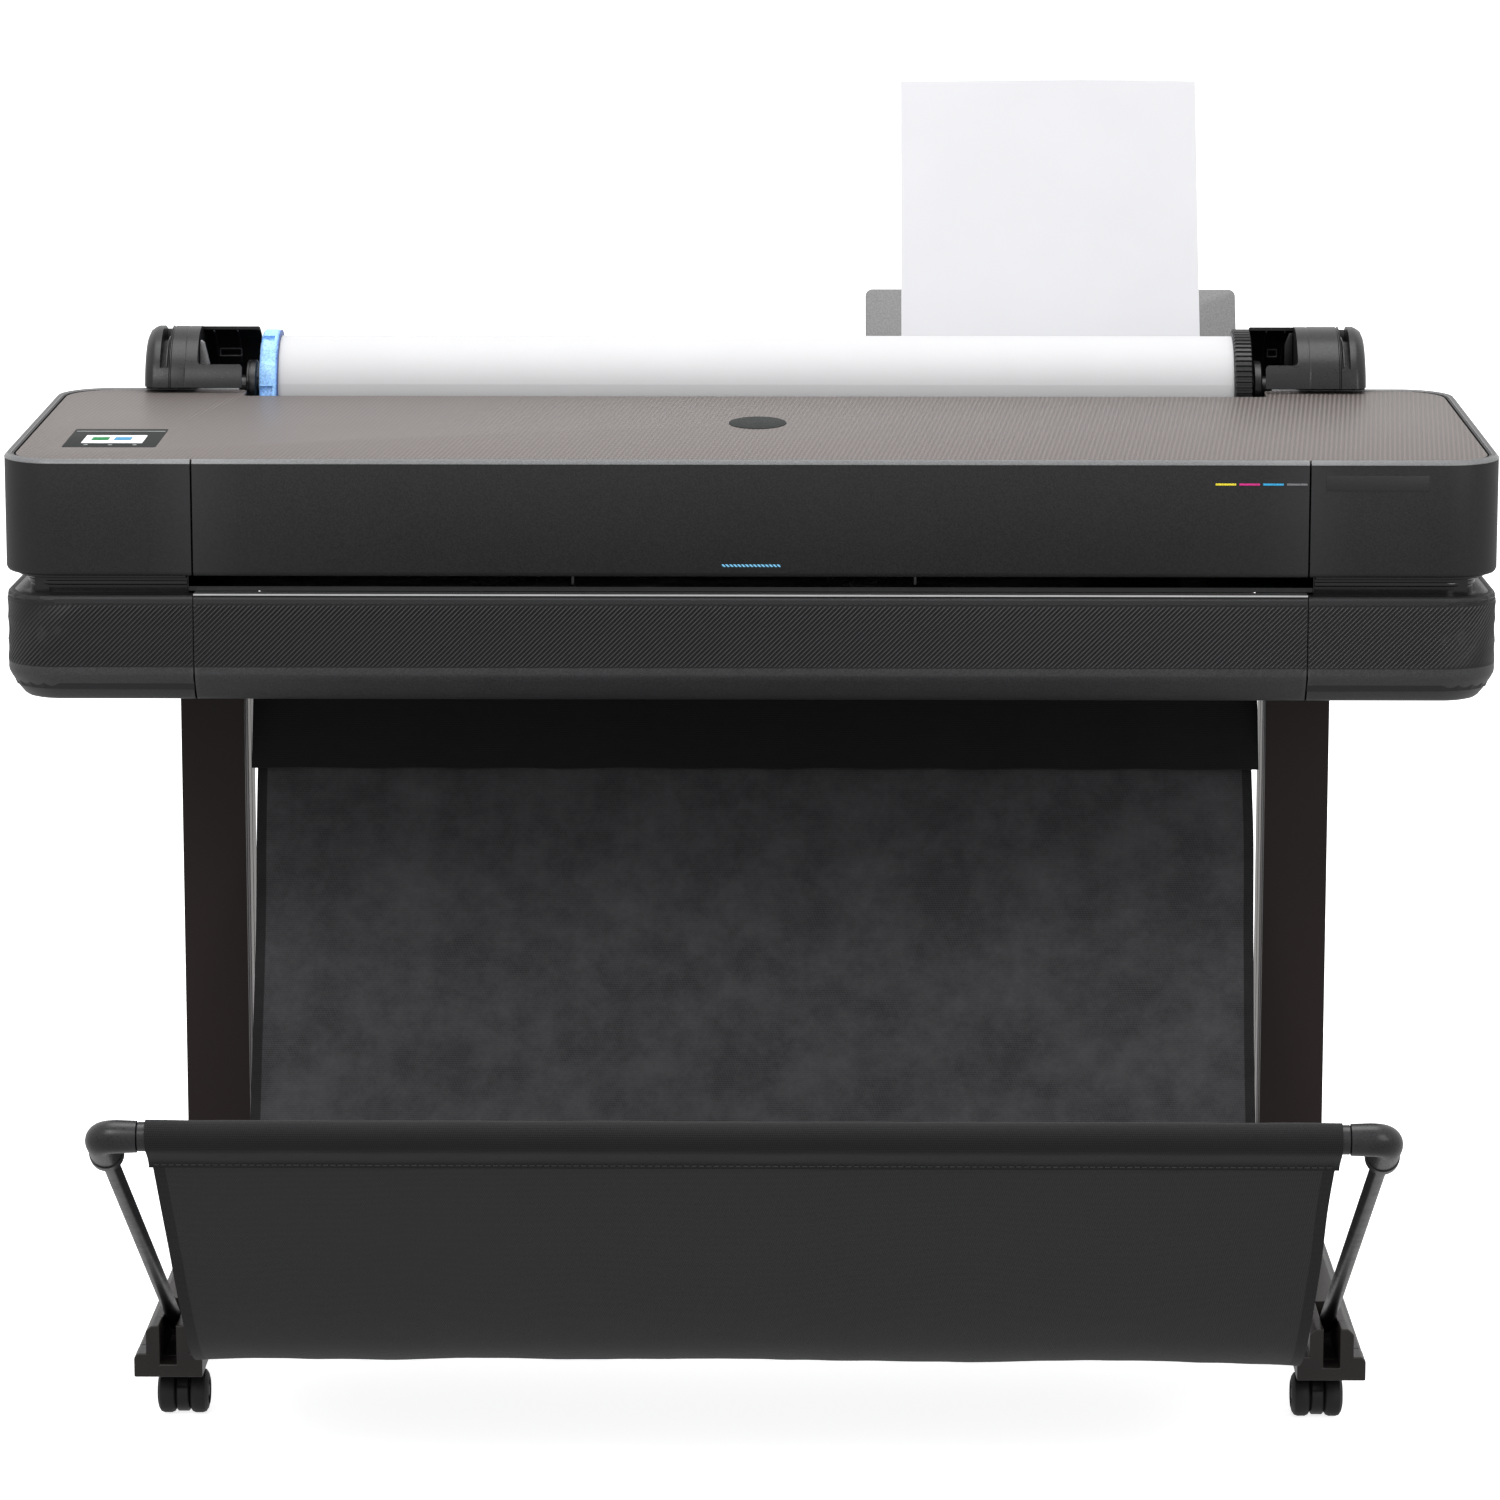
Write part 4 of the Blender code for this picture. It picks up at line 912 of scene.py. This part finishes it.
def holder(word, side):
    """A spindle holder: hollow drum with a cut-out mouth, a ringed middle and a grooved outer cap.

    Distances along X are counted outwards, so one description serves both ends."""
    low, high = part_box("spindle_holder_" + word)
    roll_low, roll_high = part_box("paper_roll")
    y, z = (roll_low.y + roll_high.y) / 2, (roll_low.z + roll_high.z) / 2
    radius = high.z - z
    inner, outer = sorted((side * low.x, side * high.x))
    cradle = inner + (0.0298 if side > 0 else 0.0418)
    mouth = inner - 0.0125
    ridge = outer - 0.0254
    ring = cradle + 0.0115
    rim = 0.9

    def corners(x, y_range, z_range):
        return (side * x[0], y_range[0], z_range[0]), (side * x[1], y_range[1], z_range[1])

    def turned(profile, steps):
        return lathe("turned", [(r, side * x) for r, x in profile], (0, y, z), steps=steps)

    def plate(name, points, x, half, look):
        prism(name, points, "X", (side * x - half, side * x + half), 0, look, "base")

    drum = turned([
        (0.0, outer), (radius * 0.7, outer), (radius * 0.84, outer - 0.001),
        (radius - 0.0042, outer - 0.0034), (radius - 0.0012, outer - 0.0076), (radius, outer - 0.011),
        (radius, ridge + 0.0008),
        (radius - 0.0012, ridge), (radius - 0.0012, ridge - 0.0008), (radius - 0.0002, ridge - 0.0016),
        (radius - 0.0002, ring + 0.0012), (radius - 0.0008, ring), (radius - 0.0004, ring - 0.0008),
        (radius - 0.0004, mouth + 0.0008), (radius - 0.001, mouth), (0.0, mouth)], 128)
    pedestal = raw_block(*corners((inner + 0.001, outer - 0.001), (0.446 + FRONT, 0.525 + FRONT),
                                  (low.z, z - 0.02)))
    around = (inner - 0.03, outer + 0.03)
    sill = TOP_FRONT + TOP_SLOPE * 0.4458 + 0.0042
    clear = raw_block(*corners(around, (0.38 + FRONT, 0.4459 + FRONT), (low.z - 0.03, sill)))
    under = raw_block(*corners(around, (0.38 + FRONT, 0.6 + FRONT), (low.z - 0.05, low.z)))
    hollow = turned([(0.0, mouth - 0.01), (radius - 0.0034, mouth - 0.01), (radius - 0.0034, cradle),
                     (0.0, cradle)], 96)
    end, bend = inner - 0.001, 0.0042
    sweep = [(mouth - 0.02, rim - 0.04), (end, rim - 0.04), (end, rim - 0.003), (end + 0.001, rim - 0.001),
             (end + 0.003, rim)]
    sweep += [(cradle - (bend - bend * math.sin(a)), rim + bend - bend * math.cos(a))
              for a in (math.radians(d) for d in range(0, 91, 15))]
    sweep += [(cradle, z + 0.08), (mouth - 0.02, z + 0.08)]
    opening = prism("opening", [(side * x, up) for x, up in sweep], "Y", (y - 0.09, y + 0.0125))
    groove = prism("groove", [
        (y - radius - 0.01, z + 0.0245), (y - radius + 0.018, z + 0.0245), (y - radius * 0.45, z + 0.034),
        (y - 0.006, z + radius - 0.015), (y + 0.024, z + radius - 0.015), (y + 0.024, z + 0.08),
        (y - radius - 0.01, z + 0.08)], "X", sorted((side * (outer - 0.016), side * (outer - 0.0243))))
    solid = carve(carve(drum, [pedestal], "UNION"), [clear, under, hollow, opening, groove])
    put("holder_" + word, softened(solid, 0.0006), "dark_satin", "base", 40, "spindle_holder_" + word)
    plate("cap_fin_" + word, band((y, z), radius - 0.01, radius - 0.016, 80, 150, 14), outer - 0.02115,
          0.0005, "dark_satin")
    block("journal_rest_" + word, *corners((cradle - 0.0004, inner + 0.006), (y - 0.016, y + 0.016),
                                           (z - 0.05, z - 0.0123)), 0.0015, "black", "base")
    near, far = sorted((cradle - 0.014, inner + 0.006))
    ledge = raw_block(*corners((near, far), (y + 0.024, y + 0.0275), (rim, rim + 0.008)))
    slot = raw_block(*corners((near + 0.0012, far - 0.0012), (y + 0.02, y + 0.03),
                              (rim + 0.0012, rim + 0.0068)))
    put("mouth_ledge_" + word, softened(carve(ledge, [slot]), 0.0003, 1), "bar", "base")
    for i, share in enumerate((0.18, 0.6)):
        rib = band((y, z), radius - 0.003, radius - 0.0048, 74, 20, 9)
        plate(f"mouth_rib_{word}_{i}", rib, cradle - (cradle - mouth) * share, 0.0006, "bar")
    if side < 0:
        lever = [(0.0006, -0.02), (0.0108, -0.02), (0.0094, -0.001), (0.005, 0.0185), (0.0014, 0.0212),
                 (0.0006, 0.016)]
        prism("mouth_lever_" + word, [(-cradle + x, rim + up) for x, up in lever], "Y",
              (y - 0.03, y - 0.022), 0.0008, "lever", "base")
    else:
        wedge = [(0.0006, -0.012), (0.008, -0.012), (0.0085, 0.014), (0.004, 0.025), (0.0006, 0.025)]
        prism("mouth_wedge_" + word, [(cradle - x, rim + up) for x, up in wedge], "Y",
              (y + 0.006, y + 0.012), 0.0008, "black", "base")


# ---------------------------------------------------------- sheet feeder

LEAN = Matrix.Rotation(-math.radians(26.4), 4, "X")


def in_tray(mesh):
    """Carry a mesh from the tray's own frame, hinge at the origin and Z up the tray, to its place."""
    mesh.transform(Matrix.Translation(at(0, 0.63, 0.808)) @ LEAN)
    return mesh


def sheet_feeder():
    low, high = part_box("sheet_tray")
    x0, x1, top, radius = low.x + 0.0027, high.x - 0.004, 0.1534, 0.007
    outline = arc((x1 - radius, top - radius), radius, 0, 90, 6)
    outline += arc((x0 + radius, top - radius), radius, 90, 180, 6)
    plate = prism("plate", outline + [(x0, 0.004), (x1, 0.004)], "Y", (-0.005, -0.0021), 0.0005)
    knuckle = lathe("knuckle", [(0, x1 + 0.004), (0.0044, x1 + 0.004), (0.005, x1 + 0.0034),
                                (0.005, x0 - 0.0021), (0.0044, x0 - 0.0027), (0, x0 - 0.0027)],
                    (0, 0, 0), steps=40)
    put("tray_plate", in_tray(carve(plate, [knuckle], "UNION")), "tray", "sheet_tray", replaces="sheet_tray")
    rib = raw_block((x0 + 0.01, -0.003, 0.01), (x1 - 0.01, 0.0006, 0.0116))
    put("tray_rib_0", in_tray(rib), "tray", "sheet_tray")
    low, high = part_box("loaded_sheet")
    columns, rows, free_from = 24, 40, 0.46
    bm = bmesh.new()
    grid = []
    for j in range(rows + 1):
        t = j / rows
        free = max(0.0, (t - free_from) / (1 - free_from))
        line = []
        for s in (i / columns for i in range(columns + 1)):
            bow = 0.005 * free ** 2 * math.cos((s - 0.5) * 2.2) - 0.0012 * free * math.sin(s * 5.0 + 1.0)
            line.append(bm.verts.new((low.x + (high.x - low.x) * s, -0.0056 - bow, -0.0434 + 0.42 * t)))
        grid.append(line)
    fill_grid(bm, grid)
    put("loaded_paper", in_tray(thin_shell(bm, 0.0003)), "paper", "sheet_tray", 60, "loaded_sheet")
    block("throat_lip", at(0.1175, 0.5955, 0.799), at(0.4675, 0.6, 0.803), 0.0008, "dark_satin", "base")


# ----------------------------------------------------------------- stand

def stand(word, side):
    """A leg: a profile with two grooves inside and one outside, and bright strips between the inner ones."""
    low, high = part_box("leg_" + word)
    inner, outer = (low.x, high.x) if side > 0 else (high.x, low.x)
    outline = [(low.x, low.y), (high.x, low.y), (high.x, high.y), (low.x, high.y)]
    mesh = prism("leg", outline, "Z", (low.z, high.z))
    cutters = [raw_block((face - out, low.y + start, low.z - 0.1), (face + depth, low.y + end, high.z + 0.1))
               for face, out, depth, start, end in (
                   (inner, side * 0.002, side * 0.003, 0.028, 0.033),
                   (inner, side * 0.002, side * 0.0015, 0.06, 0.0624),
                   (outer, side * -0.002, side * -0.0012, 0.046, 0.05))]
    put("leg_profile_" + word, softened(carve(mesh, cutters), 0.001), "leg", "base", replaces="leg_" + word)
    for i, (start, end) in enumerate(((0.01, 0.027), (0.0345, 0.059), (0.064, 0.095))):
        block(f"leg_trim_{word}_{i}", (inner + side * 0.0006, low.y + start, low.z + 0.002),
              (inner - side * 0.0004, low.y + end, high.z - 0.002), 0.0002,
              "leg_trim" if i else "leg", "base", 1)


def foot_section(x, grow=0.0):
    """A foot's stepped cross section about the plane X = x."""
    lower, upper = 0.0302 + grow, 0.0194 + grow
    bottom, step, top = 0.0435, 0.0653, 0.0906 + grow
    half = [(lower, bottom), (lower, step - 0.004), (lower - 0.003, step), (upper, step),
            (upper, top - 0.005), (upper - 0.005, top)]
    return [(x + out, z) for out, z in half] + [(x - out, z) for out, z in reversed(half)]


def foot(word):
    low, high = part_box("foot_" + word)
    cap_low, cap_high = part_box("foot_cap_" + word)
    x = (low.x + high.x) / 2
    for name, replaced, grow, start, end, width, segments in (
            ("foot_beam_", "foot_", 0.0, low.y, high.y - 0.004, 0.0008, 2),
            ("foot_nose_", "foot_cap_", 0.0004, cap_low.y, cap_high.y, 0.0014, 3)):
        slot = raw_block((x - 0.0073, cap_low.y - 0.01, 0.0553), (x + 0.0073, cap_low.y + 0.095, 0.14))
        beam = carve(prism("foot", foot_section(x, grow), "Y", (start, end)), [slot])
        put(name + word, softened(beam, width, segments, 30), "foot", "base", replaces=replaced + word)
    block("foot_end_" + word, (x - 0.0298, high.y - 0.004, 0.044), (x + 0.0298, high.y + 0.001, 0.065),
          0.0016, "black", "base")
    head = [(0.0, 0.003), (0.0026, 0.003), (0.003, 0.001), (0.0052, 0.001), (0.0052, -0.001), (0.0, -0.001)]
    for y in (0.3, 0.36):
        lathe(f"foot_bolt_{word}_{int(y * 1000)}", head, at(x, y, 0.0906), "steel", "base", "Z", 32)


def caster(place):
    """A twin wheel caster: two treads on an axle, and a hood between them that swivels."""
    wheel, fork = "caster_wheel_" + place, "caster_fork_" + place
    _, _, centre, half, radius = turned_node(wheel)
    for letter, sign in (("l", -1), ("r", 1)):
        profile = [(0.0, 0.0062), (radius - 0.004, 0.0062), (radius - 0.0012, 0.008), (radius, 0.0107)]
        profile += [(share * radius - less, half - inset) for share, less, inset in (
            (1, 0, 0.006), (1, 0.001, 0.003), (1, 0.004, 0.001), (0.62, 0, 0), (0.58, 0, 0.0022),
            (0.3, 0, 0.0022), (0.26, 0, 0.0006), (0, 0, 0.0002))]
        lathe(f"caster_tread_{place}_{letter}", [(r, sign * x) for r, x in profile], centre, "rubber", wheel,
              steps=64, smooth=30, replaces=wheel if sign < 0 else "")
    axle = mirrored([(0.0, 0.0061), (0.004, 0.0061)])
    lathe("caster_axle_" + place, axle, centre, "steel", wheel, steps=32)
    low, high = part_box(fork)
    turn = 1 if place.startswith("front") else -1
    brow = high.z - 0.001
    hood = [(centre.y - turn * radius * math.sin(a), min(centre.z + radius * 1.02 * math.cos(a), brow))
            for a in (math.radians(d) for d in range(-68, 69, 8))]
    chin = turn * 0.0068 * math.sin(math.radians(70))
    hood += [(centre.y - chin, centre.z - 0.0006), (centre.y, centre.z - 0.008),
             (centre.y + chin, centre.z - 0.0006)]
    web = prism("web", hood, "X", (centre.x - 0.0046, centre.x + 0.0046))
    bore = lathe("bore", mirrored([(0.0, 0.02), (0.0044, 0.02)]), centre, steps=32)
    plate = lathe("plate", [(0.0, high.z), (0.0176, high.z), (0.0184, high.z - 0.0006),
                            (0.0184, high.z - 0.0022), (0.0, high.z - 0.0024)],
                  ((low.x + high.x) / 2, (low.y + high.y) / 2, 0), axis="Z", steps=48)
    rim = radius * 0.93
    disc = lathe("disc", mirrored([(0.0, 0.0057), (rim - 0.0012, 0.0057), (rim, 0.0045)]), centre, steps=64)
    solid = carve(carve(web, [plate, disc], "UNION"), [bore])
    put("caster_hood_" + place, softened(solid, 0.0004, 1), "black", "caster_swivel_" + place, replaces=fork)


# ---------------------------------------------------------------- basket

def basket_frame():
    _, _, centre, reach, radius = turned_node("basket_bar")
    body = "basket_frame"
    profile = mirrored([(0.0, reach), (radius - 0.001, reach), (radius, reach - 0.001)])
    lathe("basket_bar_tube", profile, (0, centre.y, centre.z), "bar", body, steps=48, replaces="basket_bar")
    for word, side in SIDES:
        x = side * 0.5197
        corner = Vector((x, centre.y, centre.z))
        pivot = at(x, 0, 0.0745)
        down = (pivot - corner).normalized()
        start = Vector((side * (reach + 0.0003), centre.y, centre.z))
        path = round_path([start, corner, corner + down * 0.05], 0.0145, 10)
        pipe("basket_corner_" + word, path, lambda t: 0.013 if min(t, 1 - t) < 0.02 else 0.0136, "bar", body,
             32, "basket_elbow_" + word)
        collar = [corner + down * d for d in (0.044, 0.0445, 0.052, 0.0526)]
        pipe("basket_collar_" + word, collar, lambda t: 0.0136 if t in (0.0, 1.0) else 0.0142, "bar", body,
             32)
        top = corner + down * 0.05
        pipe("basket_rod_" + word + "_tube", [top, top.lerp(pivot, 0.5), pivot], 0.007, "rod", body, 24,
             "basket_rod_" + word)


def resample(points, step):
    """Even points along a Catmull-Rom curve through the given ones, with the distance run at each."""
    points = [Vector(p) for p in points]
    dense = []
    last = len(points) - 1
    for i in range(last):
        p0, p1, p2, p3 = points[max(i - 1, 0)], points[i], points[i + 1], points[min(i + 2, last)]
        for t in (k / 24 for k in range(24)):
            dense.append(0.5 * ((2 * p1) + (p2 - p0) * t + (2 * p0 - 5 * p1 + 4 * p2 - p3) * t * t
                                + (3 * p1 - p0 - 3 * p2 + p3) * t ** 3))
    dense.append(points[-1])
    run = [0.0]
    for a, b in zip(dense, dense[1:]):
        run.append(run[-1] + (b - a).length)
    count = max(2, int(run[-1] / step))
    result = []
    k = 0
    for i in range(count + 1):
        goal = run[-1] * i / count
        while k < len(run) - 2 and run[k + 1] < goal:
            k += 1
        share = (goal - run[k]) / max(run[k + 1] - run[k], 1e-9)
        result.append((dense[k].lerp(dense[k + 1], min(max(share, 0), 1)), goal))
    return result


def cloth_piece(name, line, half, wrinkle, material, thickness=0.0011, start_v=0.0):
    """A band of cloth along a line, with a UV map in metres; wrinkle(s, run) gives how far it is pulled
    sideways and lifted at a place across (-1 to 1) and along."""
    bm = bmesh.new()
    layer = bm.loops.layers.uv.new("cloth")
    columns = 110
    grid, places = [], {}
    for j, (point, run) in enumerate(line):
        ahead = line[min(j + 1, len(line) - 1)][0]
        behind = line[max(j - 1, 0)][0]
        along = (ahead - behind).normalized()
        normal = Vector((0, -along.y, along.x))
        row = []
        for s in (i / columns * 2 - 1 for i in range(columns + 1)):
            edge, lift = wrinkle(s, run)
            vert = bm.verts.new(at(s * (half + edge), point.x, point.y) + normal * lift)
            places[vert] = (s * half, run + start_v)
            row.append(vert)
        grid.append(row)
    fill_grid(bm, grid)
    for face in bm.faces:
        for loop in face.loops:
            loop[layer].uv = places[loop.vert]
    return put(name, thin_shell(bm, thickness), material, None, 60)


def hills(x, y, z):
    return noise.noise(Vector((x, y, z)))


def basket():
    """The sling from the casing's back to the bar, the sleeve round the bar, and a flap under the casing."""
    half = 0.48
    line = resample([
        (0.459, 0.644), (0.398, 0.499), (0.335, 0.348), (0.272, 0.198), (0.23, 0.142), (0.17, 0.111),
        (0.09, 0.096), (-0.02, 0.091), (-0.118, 0.0925), (-0.19, 0.0992), (-0.253, 0.1172), (-0.31, 0.158),
        (-0.405, 0.256), (-0.4965, 0.35)], 0.011)
    total = line[-1][1]

    def wrinkle(s, run):
        loose = math.sin(math.pi * min(run / total, 1)) ** 0.6
        creases = (0.004 * hills(s * 2.2, run * 2.6, 0.3) + 0.0022 * hills(s * 6.0 + 4, run * 1.6, 2.7)
                   + 0.0007 * hills(s * 16.0, run * 14.0, 7.1))
        pulled = -0.004 * loose + 0.0016 * hills(s * 0.5 + 9, run * 9.0, 1.5)
        return pulled, creases * loose + 0.004 * abs(s) ** 14 * loose

    ob = cloth_piece("basket_cloth", line, half, wrinkle, "cloth")
    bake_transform(ob)
    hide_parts("basket_back", "basket_front")

    bar, wrap = (-0.51, 0.374), 0.0136
    sleeve_line = resample([(-0.4925, 0.3438), (-0.499, 0.3508)] + arc(bar, wrap, 238, -50, 18)
                           + [(-0.4958, 0.3532), (-0.4885, 0.3448)], 0.004)

    def snug(s, run):
        return 0.0012 * hills(3.0, run * 20.0, s), 0.0006 * hills(s * 9.0, run * 25.0, 4.0)

    tube = cloth_piece("basket_sleeve", sleeve_line, half + 0.0025, snug, "cloth_dark", 0.001, total - 0.02)
    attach(tube, "basket_frame")

    flap_line = resample([(0.444, 0.644), (0.4215, 0.59), (0.399, 0.533), (0.3905, 0.515)], 0.01)

    def flap_hang(s, run):
        share = run / flap_line[-1][1]
        wave = hills(s * 7.0, run * 3.0, 5.0)
        return 0.0008 * wave, (0.003 * wave + 0.0012 * math.sin(s * 31)) * share ** 2

    flap = cloth_piece("basket_flap", flap_line, half + 0.003, flap_hang, "cloth_dark")
    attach(flap, "base")


def stitches():
    """Short thread runs along the sleeve's seam."""
    bm = bmesh.new()
    count, half = 160, 0.478
    for i in range(count):
        place = at(2 * half * i / count - half + 0.002, -0.4965, 0.3474)
        made = bmesh.ops.create_cube(bm, size=1)["verts"]
        bmesh.ops.scale(bm, vec=(0.004, 0.0005, 0.0007), verts=made)
        bmesh.ops.rotate(bm, cent=(0, 0, 0), matrix=Matrix.Rotation(-0.86, 3, "X"), verts=made)
        bmesh.ops.translate(bm, vec=place, verts=made)
    put("sleeve_stitches", mesh_from("stitches", bm), "thread", "basket_frame", 0)


# ------------------------------------------------------------ small parts

def small_parts():
    """Hooks in the print exit, and vents and screws on the back."""
    for i, x in enumerate((-0.157, 0.146)):
        block(f"exit_hook_{i}", at(x - 0.0012, 0.004, 0.75), at(x + 0.0012, 0.0075, 0.759), 0.0006,
              "dark_satin", "front_window")
    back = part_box("rear_cover")[1].y
    for i in range(14):
        x = -0.15 + i * 0.024
        block(f"rear_vent_{i}", (x, back - 0.0004, 0.76), (x + 0.014, back + 0.0008, 0.763), 0.0004, "black",
              "base", 1)
    head = [(0.0, 0.0012), (0.0024, 0.0012), (0.003, 0.0004), (0.003, -0.0005), (0.0, -0.0005)]
    for i, x in enumerate((-0.58, -0.3, 0.3, 0.58)):
        lathe(f"rear_screw_{i}", head, (x, back, 0.785), "steel", "base", "Y", 32)


# The looks of the CAD nodes that stay in sight.
CAD_LOOKS = {
    "steel": "chassis electronics_box carriage_rail drive_pulley", "charcoal_rear": "rear_cover",
    "black": "rear_bulkhead carriage power_inlet", "lip": "exit_lip", "rubber": "feed_roller",
    "leg": "cross_bar",
    "charcoal": "lower_front_panel lower_cover_left lower_cover_right upper_cover_left upper_cover_right "
                "front_window",
    "gloss_black": "side_frame_left side_frame_right platen power_switch",
    "tray": "tray_extension paper_guide_left paper_guide_right",
    **{"ink_" + ink: "ink_cartridge_" + ink for ink in INKS},
}


def dress_cad():
    for look, names in CAD_LOOKS.items():
        for name in names.split():
            materials = NODES[name].data.materials
            materials.clear()
            materials.append(MAT[look])


# ----------------------------------------------------------------- studio

def add(name, data, place, turn=(0, 0, 0)):
    ob = bpy.data.objects.new(name, data)
    ob.location = place
    ob.rotation_euler = turn
    bpy.context.scene.collection.objects.link(ob)
    return ob


def studio():
    """Camera, a white floor, a bright room that darkens downwards and behind, and three lamps."""
    scene = bpy.context.scene
    scene.view_settings.view_transform = "Standard"
    camera = bpy.data.cameras.new("camera")
    camera.sensor_width = 36
    camera.lens = 135.36
    camera.clip_end = 100
    aim = (math.radians(80), 0, math.radians(0.627))
    scene.camera = add("camera", camera, at(0.054, -4.936, 1.4725), aim)
    floor = bpy.data.meshes.new("floor")
    bm = bmesh.new()
    bmesh.ops.create_grid(bm, x_segments=2, y_segments=2, size=30)
    bm.to_mesh(floor)
    bm.free()
    pale = Material("pale_floor", 0.9, specular=0.1)
    pale.shade(Base_Color=pale.ramp(pale.noise(2.0), (0.3, (0.93, 0.93, 0.935)), (0.7, (0.95, 0.95, 0.955))),
               Emission_Color=(1, 1, 1, 1), Emission_Strength=0.8)
    floor.materials.append(pale.mat)
    ground = add("floor", floor, (0, 0, -0.0004))
    ground.visible_diffuse = False
    ground.visible_glossy = False
    world = bpy.data.worlds.new("studio")
    scene.world = world
    world.use_nodes = True
    room = Nodes(world.node_tree)
    background = room.tree.nodes["Background"]
    background.inputs["Color"].default_value = (1, 1, 1, 1)
    split = room.node("ShaderNodeSeparateXYZ", Vector=room.node("ShaderNodeTexCoord").outputs["Generated"])
    sweep = room.level(split.outputs["Y"], 0.78, 1.0, -0.6, 0.5)
    rise = room.level(split.outputs["Z"], 0.7, 1.1, -0.25, 0.45)
    room.feed(background.inputs["Strength"], room.math("MULTIPLY", sweep, rise))
    for name, place, aim, size, power in (
            ("key", (-1.8, -3.0, 3.0), (-0.2, 0.1, 0.5), (1.6, 1.2), 42),
            ("fill", (2.4, -2.6, 1.8), (0, 0.1, 0.5), (1.2, 1.8), 22),
            ("top", (0.0, 0.0, 2.9), (0, 0.1, 0.8), (2.8, 1.5), 44)):
        lamp = bpy.data.lights.new(name, "AREA")
        lamp.shape = "RECTANGLE"
        lamp.size, lamp.size_y = size
        lamp.energy = power
        add(name, lamp, place, (Vector(aim) - Vector(place)).to_track_quat("-Z", "Y").to_euler())


dress_cad()
rib_skins()
neck_skins()
upper_skins()
top_cover()
display()
front_marks()
roll()
blue_hub()
ribbed_hub()
spindle_shaft()
for word, side in SIDES:
    holder(word, side)
sheet_feeder()
for word, side in SIDES:
    stand(word, side)
    foot(word)
for place in ("front_left", "front_right", "rear_left", "rear_right"):
    caster(place)
basket_frame()
basket()
stitches()
small_parts()
studio()
